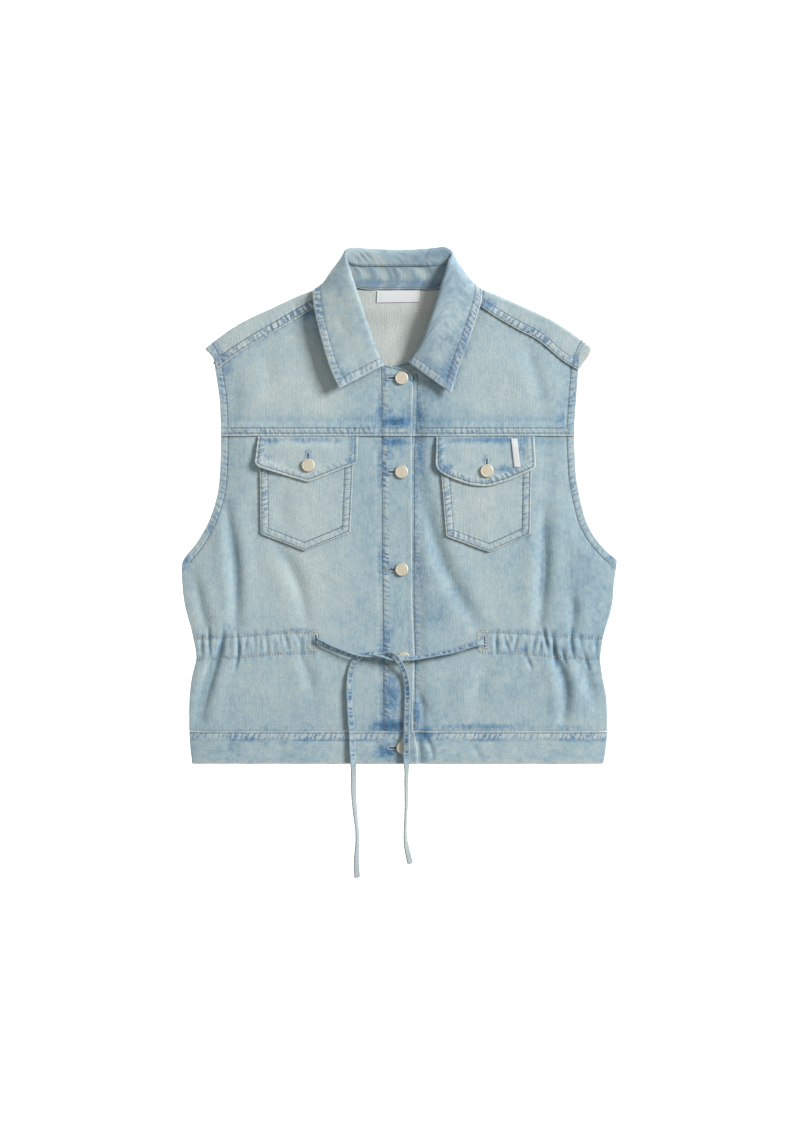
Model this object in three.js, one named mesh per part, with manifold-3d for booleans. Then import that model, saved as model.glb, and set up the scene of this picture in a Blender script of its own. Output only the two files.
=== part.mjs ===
// A sleeveless denim vest with a shirt collar, two flapped chest pockets, a buttoned front, a drawn-in
// waist and a hem band. It lies on its back on a flat surface, with the front up.
// Units are millimetres. +Z is up from the surface, +Y points to the collar and +X to the wearer's left.
// The origin is the middle of the underside. "left" in a name means the -X side.
import * as THREE from "three";
import { mergeVertices } from "three/addons/utils/BufferGeometryUtils.js";
import Module from "manifold-3d";

const wasm = await Module();
wasm.setup();

// Driving sizes
const CLOTH = 1.2; // one layer of denim
const FOLDED = 1.6; // denim folded double and pressed, as in a band or a flap
const COLLAR_WALL = 1.8;
const LAYER_GAP = 0.4; // air between a piece and what it lies on
const EDGE_TOP = 3.0; // height of the front's upper face along the sides
const CROWN = 3.2; // how much higher the middle of the front lies
const SIDE_ROLL = 34; // width over which the front rises from its side edge
const HEM_TOP = 5.0; // height of the front at the hem
const BODY_TOP_Y = 248; // the back's top edge, at the neck
const HEM_Y = -296.6;
const BAND_TOP_Y = -259.2;
const YOKE_SEAM_Y = 79.4; // lower edge of the yoke seam's lap
const LAP = 11; // depth of a lapped seam
const PLACKET_EDGE_X = 15; // the left front's edge, which lies over the right front
const UNDERLAP_X = -14; // the right front's hidden edge
const PLACKET_STITCH_X = -18;
const PLACKET_RAISE = 0.8; // the turned facing makes the placket this much thicker
const UNDERLAP_SINK = 1.8;
const CROSSING_SINK = 1.5; // more of it where the yoke seam's lap crosses the placket
const BUTTON_RADIUS = 7.5;
const NECK_LIFT = 3.0; // the collar's fall lies under the back's neck and lifts it

// Outline of the body, from hem to shoulder seam: the side seams, the underarms and the armholes.
const SIDES = [
  { y: -296.6, left: -238.2, right: 234.5 },
  { y: -277.6, left: -240.3, right: 237.6 },
  { y: -259.2, left: -241.5, right: 238.9 },
  { y: -235.1, left: -241.6, right: 238.7 },
  { y: -216.7, left: -240.7, right: 237.2 },
  { y: -198.3, left: -238.6, right: 233.6 },
  { y: -184.5, left: -235.3, right: 231.6 },
  { y: -176.4, left: -233.3, right: 230.8 },
  { y: -163.8, left: -234.4, right: 232.2 },
  { y: -152.3, left: -236.9, right: 234.0 },
  { y: -140.8, left: -239.4, right: 237.0 },
  { y: -124.7, left: -243.9, right: 242.1 },
  { y: -108.6, left: -247.5, right: 245.3 },
  { y: -92.5, left: -249.2, right: 246.4 },
  { y: -72.9, left: -250.1, right: 248.9 },
  { y: -63.7, left: -248.7, right: 250.1 },
  { y: -54.5, left: -242.5, right: 240.3 },
  { y: -45.3, left: -234.8, right: 231.5 },
  { y: -33.8, left: -227.4, right: 222.8 },
  { y: -18.9, left: -219.3, right: 215.0 },
  { y: -1.6, left: -212.9, right: 209.9 },
  { y: 14.5, left: -208.8, right: 206.4 },
  { y: 34.0, left: -206.4, right: 203.2 },
  { y: 52.4, left: -205.5, right: 202.1 },
  { y: 86.9, left: -205.0, right: 200.9 },
  { y: 105.3, left: -205.7, right: 202.1 },
  { y: 122.6, left: -206.7, right: 203.2 },
  { y: 139.8, left: -209.0, right: 204.6 },
  { y: 154.8, left: -211.5, right: 205.7 },
];

// Outline of the back above the seam's end: the shoulder tips, then the shoulder folds up to the collar.
const SHOULDER_OUTLINE = [
  { y: 154.8, left: -211.5, right: 205.7 },
  { y: 164.3, left: -213.0, right: 212.0 },
  { y: 172.0, left: -214.4, right: 217.9 },
  { y: 179.5, left: -221.5, right: 220.5 },
  { y: 183.0, left: -219.0, right: 217.0 },
  { y: 189.2, left: -212.0, right: 208.5 },
  { y: 201.5, left: -193.3, right: 191.0 },
  { y: 215.9, left: -168.4, right: 168.0 },
  { y: 227.2, left: -143.6, right: 143.0 },
  { y: 239.7, left: -116.9, right: 114.5 },
  { y: BODY_TOP_Y, left: -97.5, right: 96.5 },
];

// Each shoulder from armhole to neck: the fold where the back turns over, and the seam on the front.
const LEFT_SHOULDER = [
  { foldX: -223.4, foldY: 180.5, seamX: -209.5, seamY: 156.7 },
  { foldX: -195.3, foldY: 201.5, seamX: -187.0, seamY: 173.6 },
  { foldX: -170.4, foldY: 215.9, seamX: -163.5, seamY: 188.3 },
  { foldX: -145.6, foldY: 227.2, seamX: -139.0, seamY: 202.4 },
  { foldX: -118.9, foldY: 239.7, seamX: -113.5, seamY: 217.0 },
  { foldX: -97.8, foldY: 247.4, seamX: -92.0, seamY: 228.5 },
];
const RIGHT_SHOULDER = [
  { foldX: 221.1, foldY: 181.5, seamX: 205.5, seamY: 154.8 },
  { foldX: 196.0, foldY: 200.0, seamX: 186.0, seamY: 167.4 },
  { foldX: 172.0, foldY: 214.8, seamX: 160.0, seamY: 188.8 },
  { foldX: 146.0, foldY: 227.0, seamX: 137.0, seamY: 201.2 },
  { foldX: 120.0, foldY: 238.5, seamX: 112.0, seamY: 215.4 },
  { foldX: 96.6, foldY: 247.6, seamX: 90.0, seamY: 229.4 },
];

// Neck edges of the two upper fronts, hidden by the collar above the top button.
const NECK_EDGES = [
  { y: 76.0, left: 15.0, right: -14.0 },
  { y: 146.9, left: 15.0, right: -14.0 },
  { y: 155.4, left: 9.0, right: -13.5 },
  { y: 158.2, left: 0.6, right: -13.0 },
  { y: 161.0, left: -15.5, right: -12.0 },
  { y: 165.0, left: -19.5, right: 12.0 },
  { y: 179.0, left: -30.5, right: 29.0 },
  { y: 207.7, left: -45.4, right: 44.0 },
  { y: 233.0, left: -59.2, right: 58.0 },
  { y: 246.0, left: -65.0, right: 64.0 },
];

// Long soft folds in the front: where each starts and ends, how far it bows, its depth and half width.
const FOLDS = [
  { x0: -199, y0: 0, x1: -188, y1: -142, bow: 4, depth: 2.9, width: 8 },
  { x0: -140, y0: -46, x1: -108, y1: -131, bow: 6, depth: 1.8, width: 9 },
  { x0: -236, y0: -78, x1: -220, y1: -150, bow: 0, depth: 1.6, width: 7 },
  { x0: -201, y0: -152, x1: -230, y1: -244, bow: -3, depth: 2.6, width: 7 },
  { x0: -112, y0: -172, x1: -99, y1: -218, bow: 0, depth: 1.4, width: 8 },
  { x0: -135, y0: 20, x1: -135, y1: -30, bow: 0, depth: 0.7, width: 13 },
  { x0: -186, y0: 150, x1: -192, y1: 95, bow: 0, depth: 0.8, width: 12 },
  { x0: 25, y0: 30, x1: 90, y1: -141, bow: -11, depth: 2.4, width: 9 },
  { x0: 171, y0: -4, x1: 164, y1: -145, bow: 2, depth: 3.0, width: 8 },
  { x0: 162, y0: 140, x1: 171, y1: -4, bow: 3, depth: 1.3, width: 13 },
  { x0: 199, y0: -98, x1: 199, y1: -148, bow: 0, depth: 2.2, width: 7 },
  { x0: 175, y0: -166, x1: 188, y1: -249, bow: 8, depth: 2.8, width: 8 },
  { x0: 210, y0: -180, x1: 223, y1: -226, bow: 0, depth: 2.0, width: 8 },
  { x0: 21, y0: -214, x1: 37, y1: -247, bow: 0, depth: 1.0, width: 7 },
  { x0: 106, y0: -175, x1: 90, y1: -239, bow: -5, depth: 1.3, width: 10 },
];

// The drawstring's casing: a gathered band on each side of the front.
const CASING = { y: -157.5, droop: 7, droopFrom: 110, droopTo: 235, half: 12 };
const GATHERS = [
  { from: -95, to: -236, waves: 14, height: 1.0 },
  { from: 98, to: 234, waves: 13, height: 1.0 },
];

// Small helpers
const clamp = (v, low, high) => Math.min(high, Math.max(low, v));
const mix = (a, b, t) => a + (b - a) * t;
const steps = (a, b, n) => Array.from({ length: n + 1 }, (_, i) => mix(a, b, i / n));
const point = (x, y, z) => new THREE.Vector3(x, y, z);

// Rises smoothly from 0 at a to 1 at b.
function smooth(a, b, v) {
  const t = clamp((v - a) / (b - a), 0, 1);
  return t * t * (3 - 2 * t);
}

// A column of a table at a place along it, in straight lines between the rows.
function lookUp(table, key, at, column) {
  const up = table[table.length - 1][key] > table[0][key] ? 1 : -1;
  let i = 1;
  while (i < table.length - 1 && up * table[i][key] < up * at) i += 1;
  const a = table[i - 1];
  const b = table[i];
  return mix(a[column], b[column], clamp((at - a[key]) / (b[key] - a[key]), 0, 1));
}

// Distance from a point to a straight stretch, and how far along the stretch it lies, from 0 to 1.
function toStretch(x, y, x0, y0, x1, y1) {
  const dx = x1 - x0;
  const dy = y1 - y0;
  const along = clamp(((x - x0) * dx + (y - y0) * dy) / (dx * dx + dy * dy), 0, 1);
  return { along, away: Math.hypot(x - x0 - along * dx, y - y0 - along * dy) };
}

// Height of one fold's trough and of the low ridges that it pushes up beside it.
function foldHeight(fold, x, y) {
  const long = Math.hypot(fold.x1 - fold.x0, fold.y1 - fold.y0);
  const rough = toStretch(x, y, fold.x0, fold.y0, fold.x1, fold.y1);
  const bow = fold.bow * Math.sin(Math.PI * rough.along);
  const acrossX = -(fold.y1 - fold.y0) / long;
  const acrossY = (fold.x1 - fold.x0) / long;
  const side = fold.bow === 0 ? 0 : bow * Math.sign(acrossX || 1);
  const near = toStretch(
    x - side * acrossX,
    y - side * acrossY,
    fold.x0,
    fold.y0,
    fold.x1,
    fold.y1,
  );
  const fade = Math.sin(Math.PI * clamp(0.08 + 0.84 * near.along, 0, 1));
  const trough = Math.exp(-((near.away / fold.width) ** 2));
  const ridge = Math.exp(-(((near.away - 2.2 * fold.width) / fold.width) ** 2));
  return fold.depth * fade * (0.32 * ridge - trough);
}

// How far the casing hangs below its level line at x.
const casingDroop = (x) => CASING.droop * smooth(CASING.droopFrom, CASING.droopTo, Math.abs(x));

// The gathers' waves, the puff of the casing and the pinch of its two rows of sewing.
function gatherHeight(x, y) {
  const up = Math.abs(y - CASING.y + casingDroop(x));
  const reach = up < CASING.half ? 1 : Math.exp(-(up - CASING.half) / 13);
  let height = 0;
  for (const set of GATHERS) {
    const t = (x - set.from) / (set.to - set.from);
    if (t < 0 || t > 1.05) continue;
    const phase = set.waves * t + 0.22 * Math.sin(15 * t) + 0.12 * Math.sin(41 * t);
    const start = smooth(0, 0.08, t);
    height += set.height * reach * start * Math.cos(2 * Math.PI * phase);
    height += start * 0.9 * (1 - smooth(4, CASING.half, up));
    height -= start * 0.7 * Math.exp(-(((up - CASING.half) / 2.5) ** 2));
  }
  return height;
}

// 1 over the collar's fall under the back's neck, 0 away from it.
const neckLift = (x, y) => smooth(203, 226, y) * (1 - smooth(98, 124, Math.abs(x)));

// Height of the front cloth's upper face, without the gathers.
function clothHeight(x, y) {
  const side = Math.min(x - lookUp(SIDES, "y", y, "left"), lookUp(SIDES, "y", y, "right") - x);
  const shoulder = x < 0 ? LEFT_SHOULDER : RIGHT_SHOULDER;
  const seamY = lookUp(shoulder, "seamX", x, "seamY");
  const towardsSeam = mix(0.55, 1, smooth(0, 60, seamY - y));
  const towardsHem = mix((HEM_TOP - EDGE_TOP) / CROWN, 1, smooth(BAND_TOP_Y - 2, -205, y));
  let height = EDGE_TOP + CROWN * smooth(-6, SIDE_ROLL, side) * towardsSeam * towardsHem;
  height += NECK_LIFT * neckLift(x, y);
  if (y > BAND_TOP_Y) for (const fold of FOLDS) height += foldHeight(fold, x, y);
  const floor = EDGE_TOP - 0.1 + NECK_LIFT * neckLift(x, y);
  const centre = 1 - smooth(18, 34, Math.abs(x));
  return Math.max(height, floor, mix(0, HEM_TOP, centre));
}

const frontHeight = (x, y) => Math.max(clothHeight(x, y) + gatherHeight(x, y), EDGE_TOP - 0.1);

// The left front is thicker at its placket, and the right front sinks under it.
const placketRaise = (x) => PLACKET_RAISE * smooth(PLACKET_STITCH_X - 2, PLACKET_STITCH_X + 2, x);
function underlap(x, y) {
  const crossing = smooth(64, 74, y) * (1 - smooth(101, 111, y));
  return (UNDERLAP_SINK + CROSSING_SINK * crossing) * (1 - smooth(18, 34, x));
}
const leftTop = (x, y) => frontHeight(x, y) + placketRaise(x);
const rightTop = (x, y) => frontHeight(x, y) - underlap(x, y);

// Places across a front: close together at the placket or the underlap, then even to the side.
const NEAR_CENTRE = { left: [PLACKET_EDGE_X, -1, -16, -20, -34], right: [UNDERLAP_X, 4, 18, 26, 34] };
function placesAcross(side, centre, edge, even) {
  const inside = NEAR_CENTRE[side].slice(1).filter((x) => Math.abs(x - edge) < Math.abs(centre - edge));
  const near = [centre, ...inside];
  return [...near, ...steps(near[near.length - 1], edge, even).slice(1)];
}

// Making solids. A polyline is a list of indices into the points.
function fractions(line, points) {
  const out = [0];
  for (let i = 1; i < line.length; i += 1)
    out.push(out[i - 1] + points[line[i]].distanceTo(points[line[i - 1]]));
  const whole = out[out.length - 1] || 1;
  return out.map((v) => v / whole);
}

// Joins two polylines with triangles, whatever their numbers of points.
function ladder(faces, points, a, b) {
  const fa = fractions(a, points);
  const fb = fractions(b, points);
  let i = 0;
  let j = 0;
  while (i < a.length - 1 || j < b.length - 1) {
    const useA = j === b.length - 1 || (i < a.length - 1 && fa[i + 1] <= fb[j + 1] + 1e-9);
    faces.push(a[i], b[j], useA ? a[i + 1] : b[j + 1]);
    if (useA) i += 1;
    else j += 1;
  }
}

// A closed wall between an outer and an inner face, each a list of rows of points.
function wall(outerRows, innerRows) {
  const points = [];
  const number = (rows) => rows.map((row) => row.map((p) => points.push(p) - 1));
  const outer = number(outerRows);
  const inner = number(innerRows);
  const faces = [];
  for (let i = 0; i < outer.length - 1; i += 1) ladder(faces, points, outer[i], outer[i + 1]);
  for (let i = 0; i < inner.length - 1; i += 1) ladder(faces, points, inner[i + 1], inner[i]);
  const first = (rows) => rows.map((row) => row[0]);
  const last = (rows) => rows.map((row) => row[row.length - 1]);
  ladder(faces, points, inner[0], outer[0]);
  ladder(faces, points, outer[outer.length - 1], inner[inner.length - 1]);
  ladder(faces, points, first(outer), first(inner));
  ladder(faces, points, last(inner), last(outer));
  let volume = 0;
  for (let i = 0; i < faces.length; i += 3) {
    const [a, b, c] = [0, 1, 2].map((k) => points[faces[i + k]]);
    volume += a.dot(b.clone().cross(c));
  }
  if (volume < 0) faces.reverse();
  const geometry = new THREE.BufferGeometry().setFromPoints(points);
  geometry.setIndex(faces);
  geometry.computeVertexNormals();
  return geometry;
}

// A wall of even thickness about a middle face, given as rows of points with the same number in each.
function shell(rows, thickness) {
  const at = (i, j) => rows[clamp(i, 0, rows.length - 1)][clamp(j, 0, rows[0].length - 1)];
  const moved = (out) =>
    rows.map((row, i) =>
      row.map((p, j) => {
        const down = at(i + 1, j).clone().sub(at(i - 1, j));
        const across = at(i, j + 1).clone().sub(at(i, j - 1));
        const normal = down.cross(across).normalize();
        const face = p.clone().addScaledVector(normal, (out * thickness) / 2);
        return face.setZ(Math.max(face.z, 0)); // nothing goes through the surface
      }),
    );
  return wall(moved(1), moved(-1));
}

// A solid from a geometry, and back, for the one piece that is joined from three.
function solidOf(geometry) {
  const bare = new THREE.BufferGeometry();
  bare.setAttribute("position", geometry.getAttribute("position").clone());
  bare.setIndex(geometry.getIndex());
  const merged = mergeVertices(bare, 1e-4);
  return new wasm.Manifold(
    new wasm.Mesh({
      numProp: 3,
      vertProperties: merged.attributes.position.array,
      triVerts: new Uint32Array(merged.index.array),
    }),
  );
}

function geometryOf(solid) {
  const mesh = solid.getMesh();
  const geometry = new THREE.BufferGeometry();
  geometry.setAttribute("position", new THREE.BufferAttribute(mesh.vertProperties, 3));
  geometry.setIndex(new THREE.BufferAttribute(mesh.triVerts, 1));
  geometry.computeVertexNormals();
  return geometry;
}

// The back: a flat panel whose shoulders turn over onto the front, as far as the shoulder seams.
function backPanel() {
  const outline = [...SIDES.filter((row) => row.y > BAND_TOP_Y), ...SHOULDER_OUTLINE.slice(1)];
  const heights = [BAND_TOP_Y + 0.4, -228, -205, -180, -152, -120, -92, -73, -64, -54, -45, -33];
  heights.push(-18, 0, 30, 86, 125, 154, 172, 179.5, 189, 203, 212, 219, 226, 236, BODY_TOP_Y);
  const COLUMNS = 10;
  const face = (rise) =>
    heights.map((y) => {
      const left = lookUp(outline, "y", y, "left");
      const right = lookUp(outline, "y", y, "right");
      return steps(left, right, COLUMNS).map((x) =>
        point(x, y, NECK_LIFT * neckLift(x, y) + rise),
      );
    });
  return wall(face(CLOTH), face(0));
}

// One shoulder's turned strip: from inside the back, round the fold, to the lapped edge at the seam.
function shoulderStrip(table, top) {
  const INSIDE = 7; // how far the strip starts inside the back panel
  const LAPPED = 10; // how far it lies over the front
  const rows = steps(0, 1, 10).map((t) => {
    const place = (column) => lookUp(table.map((row, i) => ({ i, ...row })), "i", t * 5, column);
    const fold = point(place("foldX"), place("foldY"), 0);
    const seam = point(place("seamX"), place("seamY"), 0);
    const inward = seam.clone().sub(fold);
    const width = inward.length();
    inward.normalize();
    const at = (d, z) => point(fold.x + inward.x * d, fold.y + inward.y * d, z);
    const bottom = NECK_LIFT * neckLift(fold.x, fold.y) + CLOTH / 2;
    const lapZ = (d) => {
      const p = at(d, 0);
      return top(p.x, p.y) + 2 * LAYER_GAP + CLOTH / 2;
    };
    const high = lapZ(width - LAPPED);
    const radius = (high - bottom) / 2;
    const row = [at(INSIDE, bottom)];
    for (const turn of steps(-90, 90, 4)) {
      const a = (turn * Math.PI) / 180;
      row.push(at(radius * (1 - Math.cos(a)) + CLOTH / 2, bottom + radius * (1 + Math.sin(a))));
    }
    row.push(at(width - LAPPED - 2, high));
    for (const d of [width - LAPPED, width - LAPPED / 2, width]) row.push(at(d, lapZ(d)));
    return row;
  });
  return shell(rows, CLOTH);
}

function back() {
  const panel = solidOf(backPanel());
  const left = solidOf(shoulderStrip(LEFT_SHOULDER, leftTop));
  const right = solidOf(shoulderStrip(RIGHT_SHOULDER, rightTop));
  return geometryOf(panel.add(left).add(right));
}

// A lower front, from under the yoke seam to the hem band, gathered at the casing.
function lowerFront(side, top) {
  const isLeft = side === "left";
  const LEVELS = [90.4, 72, 56, 40, 25, 10, -4, -18, -32, -45, -54.5, -63.7, -73, -88, -103];
  LEVELS.push(-118, -131, -139, -145.5, -150, -157.5, -165, -169.5, -177, -188, -203, -220);
  LEVELS.push(-240, BAND_TOP_Y + 0.4);
  const gathered = (level) => level < -135 && level > -180;
  const droopShare = (level) => 1 - smooth(14, 70, Math.abs(level - CASING.y));
  const centre = isLeft ? PLACKET_EDGE_X : UNDERLAP_X;
  const row = (level, fine, height) => {
    const edgeY = level - CASING.droop * droopShare(level);
    const edge = lookUp(SIDES, "y", edgeY, side);
    const start = GATHERS[isLeft ? 0 : 1].from;
    const columns = fine
      ? [...placesAcross(side, centre, start, 4), ...steps(start, edge, 42).slice(1)]
      : placesAcross(side, centre, edge, 13);
    return columns.map((x) => {
      const y = level - casingDroop(x) * droopShare(level);
      return point(x, y, height(x, y));
    });
  };
  const outer = LEVELS.map((level) => row(level, gathered(level), top));
  const plain = (x, y) => top(x, y) - gatherHeight(x, y);
  const raise = (x) => (isLeft ? placketRaise(x) : 0);
  const inside = (x, y) => {
    const spare = 1.3 * Math.min(1, Math.abs(gatherHeight(x, y)) + 0.001);
    const under = plain(x, y) - raise(x) - CLOTH - spare * (Math.abs(x) > 85 ? 1 : 0);
    return Math.max(under, CLOTH + LAYER_GAP - 0.1);
  };
  const inner = LEVELS.map((level) => row(level, false, inside));
  return wall(outer, inner);
}

// The hidden edge of an upper front, tucked under the shoulder strip.
function tuckedEdge(side, y) {
  const table = side === "left" ? LEFT_SHOULDER : RIGHT_SHOULDER;
  const TUCK = 9;
  const moved = table.map((row) => {
    const long = Math.hypot(row.foldX - row.seamX, row.foldY - row.seamY);
    return {
      x: row.seamX + (TUCK * (row.foldX - row.seamX)) / long,
      y: row.seamY + (TUCK * (row.foldY - row.seamY)) / long,
    };
  });
  return lookUp(moved, "y", y, "x");
}

// An upper front, from the yoke seam's lapped edge to the shoulder seam and the neck.
function upperFront(side, top) {
  const LEVELS = [YOKE_SEAM_Y, 85, 91.6, 97, 108, 120, 132, 144, 149, 153.5, 157, 161, 164.5];
  LEVELS.push(170, 178, 187, 197, 207, 217, 227, 235);
  const lapped = (y) => 1 - smooth(92, 97, y);
  const centre = (y) => lookUp(NECK_EDGES, "y", y, side);
  const outside = (y) => {
    const armhole = lookUp(SIDES, "y", y, side);
    const tucked = tuckedEdge(side, y);
    return y < 163 ? armhole : Math.sign(armhole) * Math.min(Math.abs(armhole), Math.abs(tucked));
  };
  const face = (height) =>
    LEVELS.map((y) =>
      placesAcross(side, centre(y), outside(y), 11).map((x) => point(x, y, height(x, y))),
    );
  const raise = (x) => (side === "left" ? placketRaise(x) : 0);
  const outer = (x, y) => top(x, y) + lapped(y) * (LAYER_GAP + CLOTH);
  const inner = (x, y) => top(x, y) - raise(x) * (1 - lapped(y)) + mix(-CLOTH, LAYER_GAP, lapped(y));
  return wall(face(outer), face(inner));
}

// Patch pockets: rows from the top edge, which the flap hides, to the point.
const LEFT_POCKET = [
  { y: 62.0, from: -160.4, to: -52.0 },
  { y: 42.0, from: -160.4, to: -52.3 },
  { y: 22.0, from: -160.4, to: -53.0 },
  { y: 2.0, from: -160.3, to: -54.0 },
  { y: -15.0, from: -160.0, to: -55.2 },
  { y: -30.5, from: -159.2, to: -56.2 },
  { y: -37.5, from: -142.5, to: -73.5 },
  { y: -44.5, from: -126.0, to: -91.0 },
  { y: -51.8, from: -110.5, to: -107.0 },
];
const RIGHT_POCKET = [
  { y: 62.0, from: 45.4, to: 151.8 },
  { y: 42.0, from: 46.2, to: 151.7 },
  { y: 22.0, from: 47.4, to: 151.4 },
  { y: 2.0, from: 48.8, to: 150.9 },
  { y: -15.0, from: 50.6, to: 150.5 },
  { y: -33.5, from: 53.3, to: 150.2 },
  { y: -40.0, from: 69.5, to: 134.0 },
  { y: -46.5, from: 86.0, to: 118.5 },
  { y: -52.8, from: 101.5, to: 105.5 },
];
const LEFT_FLAP = [
  { y: 79.0, from: -162.4, to: -47.4 },
  { y: 71.0, from: -163.4, to: -47.6 },
  { y: 64.0, from: -164.4, to: -47.8 },
  { y: 56.0, from: -165.2, to: -48.0 },
  { y: 49.0, from: -165.6, to: -48.6 },
  { y: 44.5, from: -162.0, to: -57.6 },
  { y: 38.0, from: -141.0, to: -75.0 },
  { y: 32.0, from: -121.7, to: -90.7 },
  { y: 27.2, from: -107.0, to: -102.5 },
];
const RIGHT_FLAP = [
  { y: 79.0, from: 42.0, to: 154.6 },
  { y: 71.0, from: 41.7, to: 154.9 },
  { y: 64.0, from: 41.5, to: 155.2 },
  { y: 56.0, from: 41.4, to: 155.7 },
  { y: 48.0, from: 41.9, to: 156.4 },
  { y: 41.5, from: 44.0, to: 153.5 },
  { y: 34.0, from: 54.0, to: 137.5 },
  { y: 28.0, from: 67.0, to: 123.7 },
  { y: 23.0, from: 87.0, to: 109.0 },
];
const POCKET_LIFT = 0.6;
const FLAP_LIFT = 2.3; // clear of the pocket under it

// How much the free edges of a flap stand away from the pocket.
function flapCurl(table, side, x, y) {
  const from = lookUp(table, "y", y, "from");
  const to = lookUp(table, "y", y, "to");
  const low = smooth(60, 30, y);
  const nearOuter = side === "left" ? 1 - smooth(0, 34, x - from) : 1 - smooth(0, 30, to - x);
  return low * (side === "left" ? 3.6 : 0.8) * nearOuter + 0.5 * low;
}

// Something sewn onto the front: its rows, how high it lies above the cloth and its thickness.
function patch(table, lift, thickness, columns) {
  const face = (rise) =>
    table.map((row) =>
      steps(row.from, row.to, columns).map((x) => point(x, row.y, lift(x, row.y) + rise)),
    );
  return wall(face(thickness), face(0));
}

const pocketBottom = (top) => (x, y) => top(x, y) + POCKET_LIFT;
function flapBottom(table, side, top) {
  return (x, y) =>
    top(x, y) + LAYER_GAP + (FLAP_LIFT - LAYER_GAP) * smooth(78, 65, y) + flapCurl(table, side, x, y);
}
const leftFlapBottom = flapBottom(LEFT_FLAP, "left", leftTop);
const rightFlapBottom = flapBottom(RIGHT_FLAP, "right", rightTop);

// The hem band: one folded strip from the placket, round the left side, the back and the right side,
// to its hidden end under the placket.
function hemBand() {
  const LEFT_END = 20.7;
  const levels = [BAND_TOP_Y, -271, -284, HEM_Y];
  const rows = levels.map((y) => {
    const left = lookUp(SIDES, "y", y, "left");
    const right = lookUp(SIDES, "y", y, "right");
    const middle = (x, top) => point(x, y, top - FOLDED / 2);
    const radius = (EDGE_TOP + 0.6 - FOLDED) / 2;
    const turn = (x, out) =>
      steps(90, -90, 4).map((degrees) => {
        const a = (degrees * Math.PI) / 180;
        const reach = x + out * (radius * Math.cos(a) - radius - FOLDED / 2);
        return point(reach, y, FOLDED / 2 + radius * (1 + Math.sin(a)));
      });
    const leftLeg = steps(LEFT_END, left + 8, 16).map((x) => {
      const raise = mix(0.6, PLACKET_RAISE + 0.1, smooth(-20, -8, x));
      return middle(x, clothHeight(x, y) + raise);
    });
    const rightLeg = steps(right - 8, UNDERLAP_X, 16).map((x) => {
      const sunk = mix(-1.45, 0.6, smooth(22, 34, x));
      return middle(x, clothHeight(x, y) + sunk);
    });
    const across = steps(left + 40, right - 40, 3).map((x) => point(x, y, FOLDED / 2));
    return [...leftLeg, ...turn(left, -1), ...across, ...turn(right, 1).reverse(), ...rightLeg];
  });
  return shell(rows, FOLDED);
}

// The collar, from the left point, round the back of the neck, to the right point. Each station has the
// roll line, the outer edge and how much it lies on the front (1) rather than under the back (0).
const COLLAR = [
  { rollX: -17.0, rollY: 160.3, rollZ: 14.0, edgeX: -69.0, edgeY: 133.0, edgeZ: 19.0, front: 1 },
  { rollX: -25.3, rollY: 175.5, rollZ: 17.5, edgeX: -79.6, edgeY: 156.9, edgeZ: 19.0, front: 1 },
  { rollX: -35.7, rollY: 205.4, rollZ: 21.5, edgeX: -91.0, edgeY: 196.0, edgeZ: 18.0, front: 1 },
  { rollX: -45.4, rollY: 235.3, rollZ: 23.0, edgeX: -97.4, edgeY: 224.0, edgeZ: 16.5, front: 1 },
  { rollX: -54.2, rollY: 261.7, rollZ: 23.0, edgeX: -99.0, edgeY: 242.0, edgeZ: 14.5, front: 1 },
  { rollX: -59.8, rollY: 280.0, rollZ: 22.0, edgeX: -101.5, edgeY: 250.5, edgeZ: 11.0, front: 0.9 },
  { rollX: -62.5, rollY: 292.0, rollZ: 19.0, edgeX: -99.5, edgeY: 254.0, edgeZ: 3.5, front: 0.5 },
  { rollX: -56.5, rollY: 296.2, rollZ: 16.5, edgeX: -84.0, edgeY: 242.0, edgeZ: 1.0, front: 0.12 },
  { rollX: -42.0, rollY: 295.8, rollZ: 15.5, edgeX: -60.0, edgeY: 234.0, edgeZ: 0.95, front: 0 },
  { rollX: -20.0, rollY: 294.6, rollZ: 15.0, edgeX: -24.0, edgeY: 232.0, edgeZ: 0.95, front: 0 },
  { rollX: 1.5, rollY: 294.0, rollZ: 15.0, edgeX: 1.5, edgeY: 231.5, edgeZ: 0.95, front: 0 },
  { rollX: 24.0, rollY: 294.8, rollZ: 15.0, edgeX: 27.0, edgeY: 232.0, edgeZ: 0.95, front: 0 },
  { rollX: 42.0, rollY: 296.2, rollZ: 15.5, edgeX: 61.0, edgeY: 234.0, edgeZ: 0.95, front: 0 },
  { rollX: 53.0, rollY: 296.6, rollZ: 16.5, edgeX: 81.0, edgeY: 242.0, edgeZ: 1.0, front: 0.12 },
  { rollX: 59.5, rollY: 291.5, rollZ: 19.0, edgeX: 95.5, edgeY: 254.5, edgeZ: 3.5, front: 0.5 },
  { rollX: 56.0, rollY: 280.0, rollZ: 21.5, edgeX: 97.0, edgeY: 250.5, edgeZ: 11.0, front: 0.9 },
  { rollX: 50.5, rollY: 261.7, rollZ: 22.5, edgeX: 94.8, edgeY: 241.0, edgeZ: 13.5, front: 1 },
  { rollX: 41.5, rollY: 233.0, rollZ: 22.0, edgeX: 91.0, edgeY: 222.0, edgeZ: 14.0, front: 1 },
  { rollX: 31.5, rollY: 203.0, rollZ: 20.0, edgeX: 80.5, edgeY: 192.0, edgeZ: 13.5, front: 1 },
  { rollX: 21.0, rollY: 178.5, rollZ: 17.0, edgeX: 70.0, edgeY: 164.0, edgeZ: 13.0, front: 1 },
  { rollX: 9.0, rollY: 164.3, rollZ: 14.0, edgeX: 59.0, edgeY: 128.0, edgeZ: 13.0, front: 1 },
];
const NECK_SEAM_Y = 247.8;
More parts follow.
